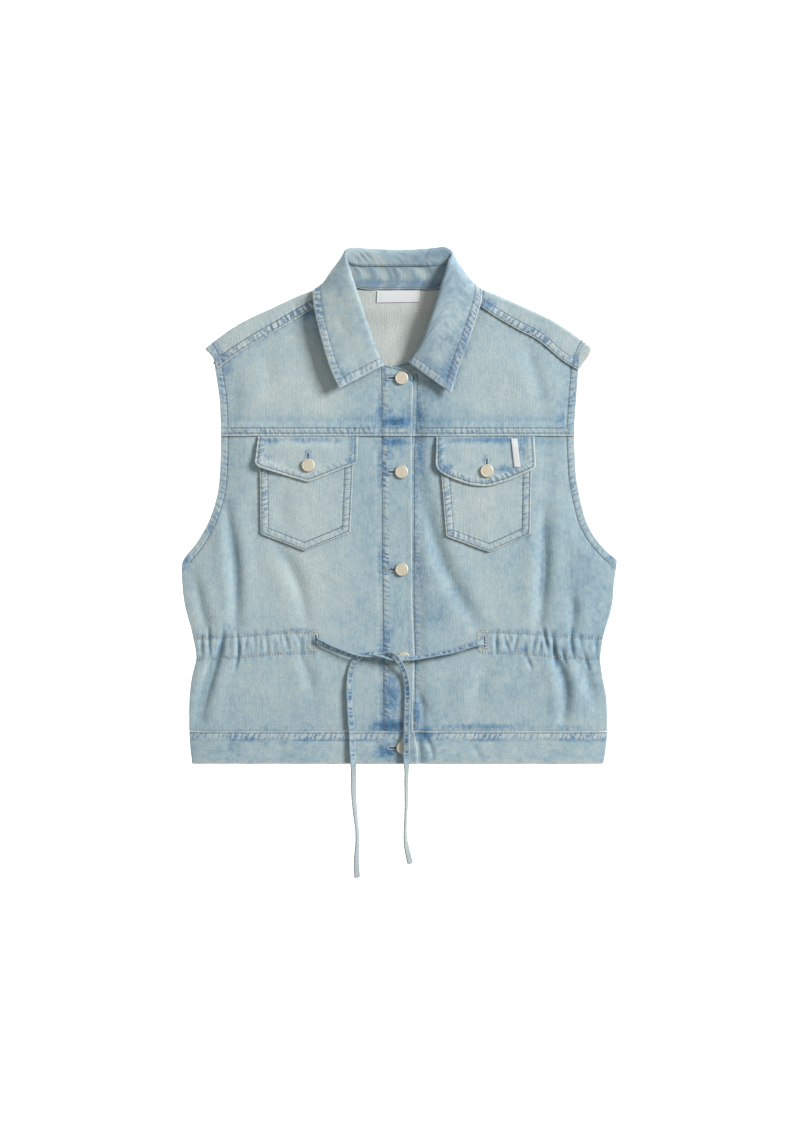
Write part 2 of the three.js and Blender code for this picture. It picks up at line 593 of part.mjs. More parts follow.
const STAND_SEAM_Y = 276.0;

// Points down one station of the collar: where the stand meets the body, the stand's upper seam, then the
// leaf's inner face, its roll and its outer edge.
function collarStation(row) {
  const long = Math.hypot(row.edgeX - row.rollX, row.edgeY - row.rollY);
  const dx = (row.edgeX - row.rollX) / long;
  const dy = (row.edgeY - row.rollY) / long;
  const onFront = (d, z) => [row.rollX + dx * d, row.rollY + dy * d, z];
  const top = row.rollX < 0 ? leftTop : rightTop;
  const taper = smooth(158, 200, row.rollY);
  const foot = onFront(mix(5, 15, taper), 0);
  const footZ = Math.max(top(foot[0], foot[1]) + 1.5, 5.4);
  const front = [
    [foot[0], foot[1], footZ],
    onFront(mix(2.6, 3.6, taper), mix(footZ, row.rollZ, 0.55)),
    onFront(mix(2.3, 2.9, taper), mix(footZ, row.rollZ, 0.72)),
    onFront(1.2, row.rollZ - 2.6),
    onFront(5.5, row.rollZ),
    onFront(0.55 * long, mix(row.rollZ, row.edgeZ, 0.4) + 1.6),
    onFront(long, row.edgeZ),
  ];
  const x = row.rollX;
  const behind = [
    [x * 0.94, NECK_SEAM_Y, NECK_LIFT + CLOTH + 1.3],
    [x * 0.96, STAND_SEAM_Y - 0.5, 10.6],
    [x * 0.97, STAND_SEAM_Y + 0.7, 11.2],
    [x * 0.99, row.rollY - 7.5, row.rollZ],
    [x, row.rollY - 1.0, 8.5],
    [mix(x, row.edgeX, 0.2), row.rollY - 12, 1.6],
    [row.edgeX, row.edgeY, row.edgeZ],
  ];
  return behind.map((p, i) => point(...p.map((v, k) => mix(v, front[i][k], row.front))));
}

// The collar's stations, closer together than the table's rows, on smooth curves through them.
function collarSections(count) {
  const stations = COLLAR.map(collarStation);
  const curves = stations[0].map(
    (_, i) => new THREE.CatmullRomCurve3(stations.map((s) => s[i]), false, "centripetal"),
  );
  return steps(0, 1, count).map((t) => curves.map((curve) => curve.getPoint(t)));
}

function collar() {
  const rows = collarSections(40).map((section) => {
    const down = new THREE.CatmullRomCurve3(section.slice(2), false, "centripetal");
    return down.getPoints(11);
  });
  return shell(rows, COLLAR_WALL);
}

function collarStand() {
  const rows = collarSections(32).map(([foot, seam]) => {
    const middle = foot.clone().lerp(seam, 0.5);
    return [foot, middle, foot.clone().lerp(seam, 0.97)];
  });
  return shell(rows, CLOTH);
}

// A round button: a flat foot, a rolled rim and a shallow dish.
function button() {
  const profile = [
    [0, 0],
    [5.2, 0],
    [BUTTON_RADIUS, 1.5],
    [6.6, 2.8],
    [4.8, 2.3],
    [0, 2.3],
  ].map(([r, z]) => new THREE.Vector2(r, z));
  return new THREE.LatheGeometry(profile, 14).rotateX(Math.PI / 2);
}

const LEFT_FLAP_BUTTON = { x: -104.7, y: 45.8 };
const RIGHT_FLAP_BUTTON = { x: 100.0, y: 39.4 };
const flapFace = (bottom) => (x, y) => bottom(x, y) + FOLDED;
const bandTop = (x, y) => clothHeight(x, y) + PLACKET_RAISE + 0.1;
const BUTTONS = [
  { name: "button_1", x: 2.3, y: 146.0, on: leftTop },
  { name: "button_2", x: 2.3, y: 38.4, on: leftTop },
  { name: "button_3", x: 2.6, y: -73.6, on: leftTop },
  { name: "button_4", x: 4.8, y: -175.6, on: leftTop },
  { name: "button_5", x: 4.0, y: -278.1, on: bandTop },
  { name: "button_left_flap", ...LEFT_FLAP_BUTTON, on: flapFace(leftFlapBottom) },
  { name: "button_right_flap", ...RIGHT_FLAP_BUTTON, on: flapFace(rightFlapBottom) },
];

// The height at which a flat foot clears the cloth under it.
function seatHeight(x, y, on) {
  const around = steps(0, 2 * Math.PI, 12);
  const heights = around.flatMap((a) =>
    [0, 3, 5.2].map((r) => on(x + r * Math.cos(a), y + r * Math.sin(a))),
  );
  return Math.max(...heights) + LAYER_GAP;
}

// Blank woven labels.
const NECK_LABEL = [
  { y: 246.6, from: -25.5, to: 23.3 },
  { y: 240.0, from: -26.0, to: 22.8 },
  { y: 233.6, from: -26.4, to: 22.4 },
];
const FLAP_LABEL = [
  { y: 76.0, from: 127.6, to: 134.6 },
  { y: 66.0, from: 128.7, to: 135.7 },
  { y: 56.0, from: 129.9, to: 136.9 },
  { y: 44.0, from: 131.2, to: 138.2 },
];
const LABEL = 1.0;

// The two ends of the drawstring, a flat stitched tape. Each route lies on the front, drops over the hem
// and ends on the surface that the vest lies on.
const TAPE = { width: 8.4, thick: 2.2 };
const LEFT_ROUTE = [
  [-95.5, -154.4, 8.3],
  [-89.0, -158.4, 8.5],
  [-81.5, -161.8, 8.4],
  [-67.0, -167.4, 8.6],
  [-58.0, -170.6, 10.4],
  [-50.0, -172.4, 11.2],
  [-40.0, -172.6, 11.2],
  [-30.0, -171.2, 11.2],
  [-20.0, -168.6, 11.6],
  [-11.0, -168.4, 13.4],
  [-4.5, -172.6, 15.4],
  [0.8, -181.0, 14.4],
  [5.4, -192.0, 10.0],
  [8.2, -204.0, 8.9],
  [9.0, -218.0, 8.7],
  [8.8, -232.0, 8.5],
  [8.3, -246.0, 8.1],
  [8.1, -260.0, 8.9],
  [7.8, -270.0, 11.4],
  [7.8, -281.0, 11.6],
  [7.8, -290.0, 9.2],
  [7.9, -298.0, 7.3],
  [8.0, -304.5, 4.4],
  [8.4, -312.0, 2.0],
  [8.6, -322.0, 1.6],
  [7.4, -345.0, 1.6],
  [7.6, -370.0, 1.6],
  [9.0, -392.0, 1.6],
  [12.5, -411.6, 1.6],
];
const RIGHT_ROUTE = [
  [97.0, -156.9, 8.3],
  [90.0, -158.2, 8.4],
  [81.0, -160.4, 8.3],
  [66.0, -165.6, 8.1],
  [48.0, -169.6, 7.9],
  [32.0, -172.6, 8.0],
  [21.0, -174.4, 9.6],
  [12.0, -175.2, 12.0],
  [3.0, -175.4, 12.0],
  [-4.0, -175.8, 11.4],
  [-14.0, -176.0, 8.8],
  [-26.0, -175.4, 8.1],
  [-36.0, -174.6, 8.1],
  [-45.0, -175.8, 8.1],
  [-51.6, -181.0, 8.1],
  [-55.6, -190.0, 8.0],
  [-57.4, -204.0, 7.9],
  [-57.2, -224.0, 7.6],
  [-56.0, -245.0, 7.3],
  [-54.6, -262.0, 7.4],
  [-53.8, -280.0, 7.4],
  [-53.5, -291.0, 7.4],
  [-53.4, -298.0, 7.1],
  [-53.4, -304.5, 4.3],
  [-53.2, -312.0, 1.9],
  [-52.8, -323.0, 1.6],
  [-51.4, -345.0, 1.6],
  [-48.4, -375.0, 1.6],
  [-48.0, -400.0, 1.6],
  [-48.4, -427.4, 1.6],
];

function tape(route) {
  const halfThick = TAPE.thick / 2;
  const halfWidth = TAPE.width / 2;
  const section = new THREE.Shape([
    new THREE.Vector2(-halfThick, -halfWidth + 1),
    new THREE.Vector2(-halfThick, halfWidth - 1),
    new THREE.Vector2(-halfThick + 0.5, halfWidth),
    new THREE.Vector2(halfThick - 0.5, halfWidth),
    new THREE.Vector2(halfThick, halfWidth - 1),
    new THREE.Vector2(halfThick, -halfWidth + 1),
    new THREE.Vector2(halfThick - 0.5, -halfWidth),
    new THREE.Vector2(-halfThick + 0.5, -halfWidth),
  ]);
  const path = new THREE.CatmullRomCurve3(route.map((p) => point(...p)), false, "centripetal");
  const solid = new THREE.ExtrudeGeometry(section, {
    steps: 56,
    bevelEnabled: false,
    extrudePath: path,
  });
  solid.deleteAttribute("uv");
  solid.deleteAttribute("normal");
  return mergeVertices(solid, 1e-3);
}

// Materials
const denim = (color, roughness) =>
  new THREE.MeshStandardMaterial({ color, roughness, metalness: 0, side: THREE.DoubleSide });
const BODY = denim(0xa7bcc7, 0.9);
const PALE = denim(0xb1bfc3, 0.9);
const BAND = denim(0x9fb6c3, 0.9);
const TRIM = denim(0x95aab7, 0.9);
const WOVEN = denim(0xe4e6e8, 0.8);
const METAL = new THREE.MeshStandardMaterial({ color: 0xdfd3be, roughness: 0.45, metalness: 0.7 });

const vest = new THREE.Group();
function add(name, geometry, material) {
  const mesh = new THREE.Mesh(geometry, material);
  mesh.name = name;
  vest.add(mesh);
  return mesh;
}

add("back", back(), PALE);
add("lower_front_left", lowerFront("left", leftTop), BODY);
add("lower_front_right", lowerFront("right", rightTop), BODY);
add("upper_front_left", upperFront("left", leftTop), PALE);
add("upper_front_right", upperFront("right", rightTop), PALE);
add("hem_band", hemBand(), BAND);
add("collar_stand", collarStand(), BAND);
add("collar", collar(), PALE);
add("pocket_left", patch(LEFT_POCKET, pocketBottom(leftTop), CLOTH, 10), BODY);
add("pocket_right", patch(RIGHT_POCKET, pocketBottom(rightTop), CLOTH, 10), BODY);
add("flap_left", patch(LEFT_FLAP, leftFlapBottom, FOLDED, 12), BODY);
add("flap_right", patch(RIGHT_FLAP, rightFlapBottom, FOLDED, 12), BODY);
const neckLabelSeat = (x, y) => NECK_LIFT * neckLift(x, y) + CLOTH + LAYER_GAP;
add("neck_label", patch(NECK_LABEL, neckLabelSeat, LABEL, 3), WOVEN);
const flapLabelSeat = (x, y) => rightFlapBottom(x, y) + FOLDED + 1.6 * LAYER_GAP;
add("flap_label", patch(FLAP_LABEL, flapLabelSeat, LABEL, 1), WOVEN);
for (const { name, x, y, on } of BUTTONS)
  add(name, button(), METAL).position.set(x, y, seatHeight(x, y, on));
add("drawstring_left", tape(LEFT_ROUTE), TRIM);
add("drawstring_right", tape(RIGHT_ROUTE), TRIM);

export default vest;
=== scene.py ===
# %% [markdown]
# # A denim vest, laid flat
#
# The vest lies on its back on a white table: a shirt collar, a buttoned front, two flapped chest
# pockets, a waist drawn in by a denim string and a hem band. Its cloth is light blue denim, stone washed
# until the middle of each panel is almost grey and only the seams keep their blue.
#
# Each panel is a thin wall over one shared height function, so whatever is sewn on follows every fold
# below it. Sewing is added with Geometry Nodes, and the wash is worked out from the distance to seams.
# Sizes are in millimetres in the tables, and in metres in the meshes.

# %% The frame from CAD
import math
import bpy
import numpy as np
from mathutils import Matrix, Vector


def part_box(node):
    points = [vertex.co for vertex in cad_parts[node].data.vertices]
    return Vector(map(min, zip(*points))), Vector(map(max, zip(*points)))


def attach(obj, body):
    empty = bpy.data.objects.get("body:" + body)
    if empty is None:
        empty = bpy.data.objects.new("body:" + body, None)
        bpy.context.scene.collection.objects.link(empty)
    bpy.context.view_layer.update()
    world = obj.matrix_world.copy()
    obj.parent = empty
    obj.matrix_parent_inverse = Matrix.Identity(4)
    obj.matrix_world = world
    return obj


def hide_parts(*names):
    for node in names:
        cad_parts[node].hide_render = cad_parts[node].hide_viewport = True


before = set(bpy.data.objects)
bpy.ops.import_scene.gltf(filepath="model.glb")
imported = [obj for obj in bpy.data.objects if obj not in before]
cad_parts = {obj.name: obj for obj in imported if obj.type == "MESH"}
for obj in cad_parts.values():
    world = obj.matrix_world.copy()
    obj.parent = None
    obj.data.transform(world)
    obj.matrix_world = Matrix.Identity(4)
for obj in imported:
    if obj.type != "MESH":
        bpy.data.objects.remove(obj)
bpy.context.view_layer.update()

# %% [markdown]
# ## Small helpers
#
# Three things are needed all over: a step that rises smoothly, a smooth curve through the rows of a
# table, and noise that is the same on every run. The noise mixes values at the corners of a grid, which
# is enough for cloth, because cloth has no sharp detail at that scale.

# %% Steps, curves and noise
MM = 0.001
BOTH = ("left", "right")
NUMBER = {"left": 0, "right": 1}


def smooth(a, b, v):
    t = np.clip((v - a) / (b - a), 0.0, 1.0)
    return t * t * (3.0 - 2.0 * t)


def hump(v, at, width):
    return np.exp(-(((v - at) / width) ** 2))


def through(table_at, table_value, at):
    """A smooth curve through a table's values, read at any places."""
    xs = np.asarray(table_at, float)
    ys = np.asarray(table_value, float)
    if xs[0] > xs[-1]:
        xs = xs[::-1]
        ys = ys[::-1]
    slope = np.diff(ys) / np.diff(xs)
    tangent = np.empty_like(ys)
    tangent[1:-1] = np.where(slope[1:] * slope[:-1] > 0, (slope[1:] + slope[:-1]) / 2, 0.0)
    limit = 2.5 * np.minimum(np.abs(slope[1:]), np.abs(slope[:-1]))
    tangent[1:-1] = np.clip(tangent[1:-1], -limit, limit)
    tangent[0] = slope[0]
    tangent[-1] = slope[-1]
    at = np.clip(at, xs[0], xs[-1])
    i = np.clip(np.searchsorted(xs, at) - 1, 0, len(xs) - 2)
    h = xs[i + 1] - xs[i]
    t = (at - xs[i]) / h
    a = (1 + 2 * t) * (1 - t) ** 2 * ys[i] + t * (1 - t) ** 2 * h * tangent[i]
    b = t * t * (3 - 2 * t) * ys[i + 1] + t * t * (t - 1) * h * tangent[i + 1]
    return a + b


def noise(x, y, size, seed):
    """Smooth noise from -1 to 1 with features of the given size."""
    grid = np.random.default_rng(seed).uniform(-1, 1, (128, 128))
    u = np.asarray(x, float) / size + 61.3
    v = np.asarray(y, float) / size + 37.7
    i = np.floor(u).astype(int)
    j = np.floor(v).astype(int)
    a = u - i
    b = v - j
    a = a * a * (3 - 2 * a)
    b = b * b * (3 - 2 * b)
    near = grid[i % 128, j % 128] * (1 - a) + grid[(i + 1) % 128, j % 128] * a
    far = grid[i % 128, (j + 1) % 128] * (1 - a) + grid[(i + 1) % 128, (j + 1) % 128] * a
    return near * (1 - b) + far * b


def smooth_line(points, count):
    """Evenly spaced places on a smooth curve through a few points."""
    p = np.asarray(points, float)
    p = np.vstack([2 * p[0] - p[1], p, 2 * p[-1] - p[-2]])
    out = []
    fine = max(6, int(3 * count / (len(p) - 3)))
    for k in range(1, len(p) - 2):
        p0, p1, p2, p3 = p[k - 1], p[k], p[k + 1], p[k + 2]
        d1 = max(np.linalg.norm(p1 - p0), 1e-6) ** 0.5
        d2 = max(np.linalg.norm(p2 - p1), 1e-6) ** 0.5
        d3 = max(np.linalg.norm(p3 - p2), 1e-6) ** 0.5
        m1 = p2 - p1 + d2 * ((p1 - p0) / d1 - (p2 - p0) / (d1 + d2))
        m2 = p2 - p1 + d2 * ((p3 - p2) / d3 - (p3 - p1) / (d2 + d3))
        for t in np.linspace(0, 1, fine, endpoint=False):
            h = 2 * t**3 - 3 * t**2
            out.append((1 + h) * p1 - h * p2 + (t**3 - 2 * t**2 + t) * m1 + (t**3 - t**2) * m2)
    out.append(p[-2])
    return even(np.array(out), count)


def lengths_along(points):
    step = np.linalg.norm(np.diff(points, axis=0), axis=1)
    return np.concatenate([[0.0], np.cumsum(step)])


def even(points, count):
    """The same line with its points evenly spaced."""
    s = lengths_along(points)
    at = np.linspace(0, s[-1], count)
    return np.column_stack([np.interp(at, s, points[:, k]) for k in range(points.shape[1])])


def pick(line, share):
    """Points of a line at shares from 0 to 1 of its rows."""
    rows = np.arange(len(line))
    return np.column_stack([np.interp(share * rows[-1], rows, line[:, k]) for k in range(line.shape[1])])


def run_along(grid, axis):
    """How far each point of a grid lies along the cloth from its first row (0) or first column (1)."""
    far = np.cumsum(np.linalg.norm(np.diff(grid, axis=axis), axis=2), axis=axis)
    return np.pad(far, [(1, 0), (0, 0)] if axis == 0 else [(0, 0), (1, 0)])


def for_both(make):
    """What a function of a side gives for the left and the right."""
    return {side: make(side) for side in BOTH}


# %% [markdown]
# ## The pattern pieces
#
# A garment is cut from a paper pattern, so the outline comes first. These tables repeat the CAD part's:
# the side seams and armholes, the shoulders, the neck edges and the folds. A row is one height on the
# vest, and a smooth curve runs through the rows.

# %% Outline tables
# y, left side, right side
SIDES = np.array([
    (-296.6, -238.2, 234.5), (-277.6, -240.3, 237.6), (-259.2, -241.5, 238.9), (-235.1, -241.6, 238.7),
    (-216.7, -240.7, 237.2), (-198.3, -238.6, 233.6), (-184.5, -235.3, 231.6), (-176.4, -233.3, 230.8),
    (-163.8, -234.4, 232.2), (-152.3, -236.9, 234.0), (-140.8, -239.4, 237.0), (-124.7, -243.9, 242.1),
    (-108.6, -247.5, 245.3), (-92.5, -249.2, 246.4), (-72.9, -250.1, 248.9), (-63.7, -248.7, 250.1),
    (-54.5, -242.5, 240.3), (-45.3, -234.8, 231.5), (-33.8, -227.4, 222.8), (-18.9, -219.3, 215.0),
    (-1.6, -212.9, 209.9), (14.5, -208.8, 206.4), (34.0, -206.4, 203.2), (52.4, -205.5, 202.1),
    (86.9, -205.0, 200.9), (105.3, -205.7, 202.1), (122.6, -206.7, 203.2), (139.8, -209.0, 204.6),
    (154.8, -211.5, 205.7),
])
# y, left side, right side, from the seams' ends over the shoulder tips to the neck
SHOULDER_OUTLINE = np.array([
    (154.8, -211.5, 205.7), (164.3, -213.0, 212.0), (172.0, -214.4, 217.9), (179.5, -221.5, 220.5),
    (183.0, -219.0, 217.0), (189.2, -212.0, 208.5), (201.5, -193.3, 191.0), (215.9, -168.4, 168.0),
    (227.2, -143.6, 143.0), (239.7, -116.9, 114.5), (248.0, -97.5, 96.5),
])
# fold x, fold y, seam x, seam y, from the armhole to the neck
SHOULDERS = {
    "left": np.array([
        (-223.4, 180.5, -209.5, 156.7), (-195.3, 201.5, -187.0, 173.6), (-170.4, 215.9, -163.5, 188.3),
        (-145.6, 227.2, -139.0, 202.4), (-118.9, 239.7, -113.5, 217.0), (-97.8, 247.4, -92.0, 228.5),
    ]),
    "right": np.array([
        (221.1, 181.5, 205.5, 154.8), (196.0, 200.0, 186.0, 167.4), (172.0, 214.8, 160.0, 188.8),
        (146.0, 227.0, 137.0, 201.2), (120.0, 238.5, 112.0, 215.4), (96.6, 247.6, 90.0, 229.4),
    ]),
}
# y, left front's neck edge, right front's neck edge
NECK_EDGES = np.array([
    (76.0, 15.0, -14.0), (130.0, 15.2, -14.0), (146.9, 15.0, -14.0), (152.2, 12.6, -13.8),
    (155.4, 9.0, -13.5), (157.4, 3.6, -13.2), (158.6, -5.0, -12.8), (161.0, -15.5, -12.0),
    (165.0, -19.5, 12.0), (179.0, -30.5, 29.0), (207.7, -45.4, 44.0), (233.0, -59.2, 58.0),
    (246.0, -65.0, 64.0),
])
COLUMN = {"left": 1, "right": 2}


def side_at(y, side):
    return through(SIDES[:, 0], SIDES[:, COLUMN[side]], y)


def neck_at(y, side):
    return np.interp(y, NECK_EDGES[:, 0], NECK_EDGES[:, COLUMN[side]])


def seam_y_at(x, side):
    table = SHOULDERS[side]
    order = np.argsort(table[:, 2])
    return np.interp(x, table[order, 2], table[order, 3])


print("width at the underarms:", round(side_at(-68, "right") - side_at(-68, "left"), 1), "mm")

# %% [markdown]
# ## How the cloth lies
#
# Cloth on a table isn't flat: it thins out to two layers at the side seams, stands a little higher in
# the middle, and keeps soft creases from being worn. One function gives the front's height everywhere.
# The creases are a short table, each a trough with low ridges beside it, because that is what a bend in
# stiff denim does. The waist casing adds its gathers: waves between two pinching rows of stitches.

# %% Heights shared by all the front's pieces
CLOTH = 1.2
FOLDED = 1.6
LAYER_GAP = 0.4
EDGE_TOP = 3.0
CROWN = 3.2
HEM_TOP = 5.0
BAND_TOP_Y = -259.2
HEM_Y = -296.6
YOKE_Y = 79.4
NECK_LIFT = 3.0
CASING_Y = -157.5
CASING_HALF = 12.0
# x0, y0, x1, y1, bow, depth, half width
FOLDS = [
    (-199, 0, -188, -142, 4, 3.5, 7.5), (-140, -46, -108, -131, 6, 2.0, 9),
    (-236, -78, -220, -150, 0, 1.6, 7), (-201, -152, -230, -244, -3, 4.1, 7.3),
    (-112, -172, -99, -218, 0, 1.4, 8), (-135, 20, -135, -30, 0, 0.7, 13),
    (-186, 150, -192, 95, 0, 0.8, 12), (25, 30, 90, -141, -11, 2.7, 10),
    (166, -4, 160, -145, 2, 3.7, 8.0), (162, 140, 171, -4, 3, 1.3, 13), (199, -98, 199, -148, 0, 2.2, 7),
    (175, -166, 188, -249, 8, 3.5, 7), (210, -180, 223, -226, 0, 2.0, 8), (21, -214, 37, -247, 0, 1.0, 7),
    (106, -175, 90, -239, -5, 1.3, 10), (-154, 182, -148, 128, 0, 0.8, 10),
    (146, 186, 162, 128, 0, 1.1, 9), (22, -216, 27, -258, 2, 1.2, 4),
]
# Short pleats that the casing gathers, as x0, y0, x1, y1, bow, depth, half width
PLEATS = [
    (-219, -140, -218, -176, 0, 1.6, 2.4), (-202, -145, -211, -184, 1, 2.6, 2.6),
    (-187, -144, -189, -190, 3, 2.2, 2.4), (-167, -147, -165, -165, 0, 0.8, 2.6),
    (-155, -145, -152, -173, 1, 0.9, 2.6), (-145, -153, -143, -174, 0, 0.6, 2.5),
    (-133, -144, -127, -166, 0, 1.1, 2.4), (-119, -145, -114, -160, 0, 0.7, 2.4),
    (-112, -145, -112, -180, -1, 1.1, 2.5), (-102, -149, -101, -168, 0, 0.6, 2.4),
    (165, -142, 171, -168, 0, 2.4, 2.4), (175, -145, 180, -187, 0, 2.6, 2.6),
    (186, -164, 191, -182, 0, 1.5, 2.2), (198, -138, 200, -176, -2, 2.0, 2.4),
    (212, -170, 218, -190, 0, 1.6, 2.4), (111, -145, 111, -170, 0, 1.8, 2.2),
    (119, -148, 126, -170, 0, 1.1, 2.2), (136, -147, 130, -170, 0, 1.5, 2.3),
    (144, -157, 143, -173, 0, 1.2, 2.2), (156, -148, 152, -170, 0, 1.3, 2.3),
    (146, -174, 152, -189, 0, 1.2, 2.3), (226, -150, 225, -172, 0, 1.2, 2.3),
    (-228, -150, -227, -172, 0, 1.2, 2.3), (-175, -148, -177, -166, 0, 1.0, 2.0),
    (-160, -150, -160, -166, 0, 0.9, 2.0), (-138, -146, -137, -158, 0, 0.9, 2.0),
    (163, -150, 160, -172, 0, 1.1, 2.2), (124, -146, 128, -158, 0, 0.9, 2.0),
    (206, -146, 209, -164, 0, 1.1, 2.2),
]
# first x, last x, number of waves, height of a wave
GATHERS = [(-95, -236, 14, 0.12), (98, 234, 13, 0.12)]
GATHER_START = {side: gathers[0] for side, gathers in zip(BOTH, GATHERS)}


def to_stretch(x, y, x0, y0, x1, y1):
    dx = x1 - x0
    dy = y1 - y0
    along = np.clip(((x - x0) * dx + (y - y0) * dy) / (dx * dx + dy * dy), 0, 1)
    return along, np.hypot(x - x0 - along * dx, y - y0 - along * dy)


def fold_height(fold, x, y, ridge=0.27):
    x0, y0, x1, y1, bow, depth, width = fold
    long = math.hypot(x1 - x0, y1 - y0)
    along, _ = to_stretch(x, y, x0, y0, x1, y1)
    across = (-(y1 - y0) / long, (x1 - x0) / long)
    side = bow * np.sin(np.pi * along) * (1.0 if across[0] >= 0 else -1.0)
    along, away = to_stretch(x - side * across[0], y - side * across[1], x0, y0, x1, y1)
    fade = np.sin(np.pi * np.clip(0.08 + 0.84 * along, 0, 1))
    return depth * fade * (ridge * hump(away, 1.9 * width, width) - 1.1 * hump(away, 0, 0.8 * width))


def crease_indigo_and_painted_shade(x, y):
    """How much deeper a crease is coloured: kept indigo and painted shade in the pleats, painted shade in the
    folds.
    """
    deep = sum(np.maximum(0, -fold_height(pleat, x, y, ridge=0)) for pleat in PLEATS) * 0.20
    return deep + sum(np.maximum(0, -fold_height(fold, x, y, ridge=0)) for fold in FOLDS) * 0.05


def casing_droop(x):
    return 7.0 * smooth(110, 235, np.abs(x))


def gather_height(x, y):
    up = np.abs(y - CASING_Y + casing_droop(x))
    # Each wave reaches a little further or less than its neighbours, as real gathers do.
    far = 13 + 5 * noise(x, np.sign(y - CASING_Y) * 40, 9, 4)
    reach = np.where(up < CASING_HALF, 1.0, np.exp(-(up - CASING_HALF) / far))
    height = np.zeros_like(x)
    for start_x, end_x, waves, wave in GATHERS:
        t = (x - start_x) / (end_x - start_x)
        on = (t > 0) & (t < 1.06)
        phase = waves * t + 0.22 * np.sin(15 * t) + 0.12 * np.sin(41 * t)
        start = smooth(0, 0.08, t)
        crest = np.cos(2 * np.pi * phase)
        sharp = 0.75 * crest + 0.25 * np.cos(4 * np.pi * phase)
        size = wave * (1 + 0.35 * noise(x, y * 0.2, 14, 9))
        here = size * reach * start * sharp
        here += start * 0.5 * (1 - smooth(4, CASING_HALF, up))
        here -= start * 0.4 * hump(up, CASING_HALF, 2.2)
        height += np.where(on, here, 0)
    for pleat in PLEATS:
        height += fold_height(pleat, x, y, ridge=0.15)
    return height


def neck_lift(x, y):
    return smooth(203, 226, y) * (1 - smooth(98, 124, np.abs(x)))


def from_sides(x, y):
    return np.minimum(x - side_at(y, "left"), side_at(y, "right") - x)


def cloth_height(x, y):
    seam_y = np.where(x < 0, seam_y_at(x, "left"), seam_y_at(x, "right"))
    towards_seam = 0.55 + 0.45 * smooth(0, 60, seam_y - y)
    low = (HEM_TOP - EDGE_TOP) / CROWN
    towards_hem = low + (1 - low) * smooth(BAND_TOP_Y - 2, -205, y)
    height = EDGE_TOP + CROWN * smooth(-6, 34, from_sides(x, y)) * towards_seam * towards_hem
    height = height + NECK_LIFT * neck_lift(x, y)
    creases = sum(fold_height(fold, x, y) for fold in FOLDS)
    height = height + np.where(y > BAND_TOP_Y, creases, 0)
    floor = EDGE_TOP - 0.1 + NECK_LIFT * neck_lift(x, y)
    centre = 1 - smooth(18, 34, np.abs(x))
    return np.maximum(np.maximum(height, floor), HEM_TOP * centre)


def rumple(x, y):
    """The slight unevenness of washed cloth, none at the sides."""
    wide = 0.30 * noise(x, y, 46, 1) + 0.16 * noise(x, y, 19, 2) + 0.07 * noise(x, y, 8, 3)
    return wide * smooth(4, 26, from_sides(x, y))


def front_height(x, y):
    return np.maximum(cloth_height(x, y) + gather_height(x, y), EDGE_TOP - 0.1) + rumple(x, y)


def placket_raise(x):
    return 0.8 * smooth(-20, -16, x)


def underlap(x, y):
    crossing = smooth(64, 74, y) * (1 - smooth(101, 111, y))
    return (1.8 + 1.5 * crossing) * (1 - smooth(18, 34, x))


def left_top(x, y):
    return front_height(x, y) + placket_raise(x)


def right_top(x, y):
    return front_height(x, y) - underlap(x, y)


TOP = {"left": left_top, "right": right_top}
print("front height at the chest:", round(float(left_top(np.array([-90.0]), np.array([120.0]))[0]), 2), "mm")

# %% [markdown]
# ## Seams and the wash
#
# Denim is sewn first and washed with stones afterwards. What stands proud is rubbed pale, what lies
# in a hollow beside a seam keeps its indigo, and a twisted seam edge gives the two in turn, which
# makers call roping. So colour follows relief: each seam or edge is one line with a list of stitch
# rows, and the distance to the line gives both the height of the cloth and how blue or worn it is.

# %% What a seam does to the cloth beside it
def near_line(x, y, points):
    """Distance to a line, the place along it and 1 to its left or -1 to its right."""
    best = np.full(x.shape, 1e9)
    place = np.zeros(x.shape)
    side = np.ones(x.shape)
    s = lengths_along(points)
    for k in range(len(points) - 1):
        x0, y0 = points[k]
        x1, y1 = points[k + 1]
        if x0 == x1 and y0 == y1:
            continue
        along, away = to_stretch(x, y, x0, y0, x1, y1)
        closer = away < best
        best = np.where(closer, away, best)
        place = np.where(closer, s[k] + along * (s[k + 1] - s[k]), place)
        side = np.where(closer, np.sign((x1 - x0) * (y - y0) - (y1 - y0) * (x - x0)), side)
    return best, place, side


# The distance that stands for no seam, or for a row that a seam lacks
FAR = 99.0
# Places and widths are distances from the seam's line in millimetres, and rope_side is where its rows show.
PLAIN_SEAM = dict(rows=(), puff=0.0, puff_to=8.0, blue=0.0, blue_at=4.0, blue_width=6.0, rope=0.0, worn=0.0,
                  seed=0, rope_side=0)


def seam(**given):
    return {**PLAIN_SEAM, **given}


def seam_line(points, **given):
    return seam(points=np.asarray(points, float), **given)


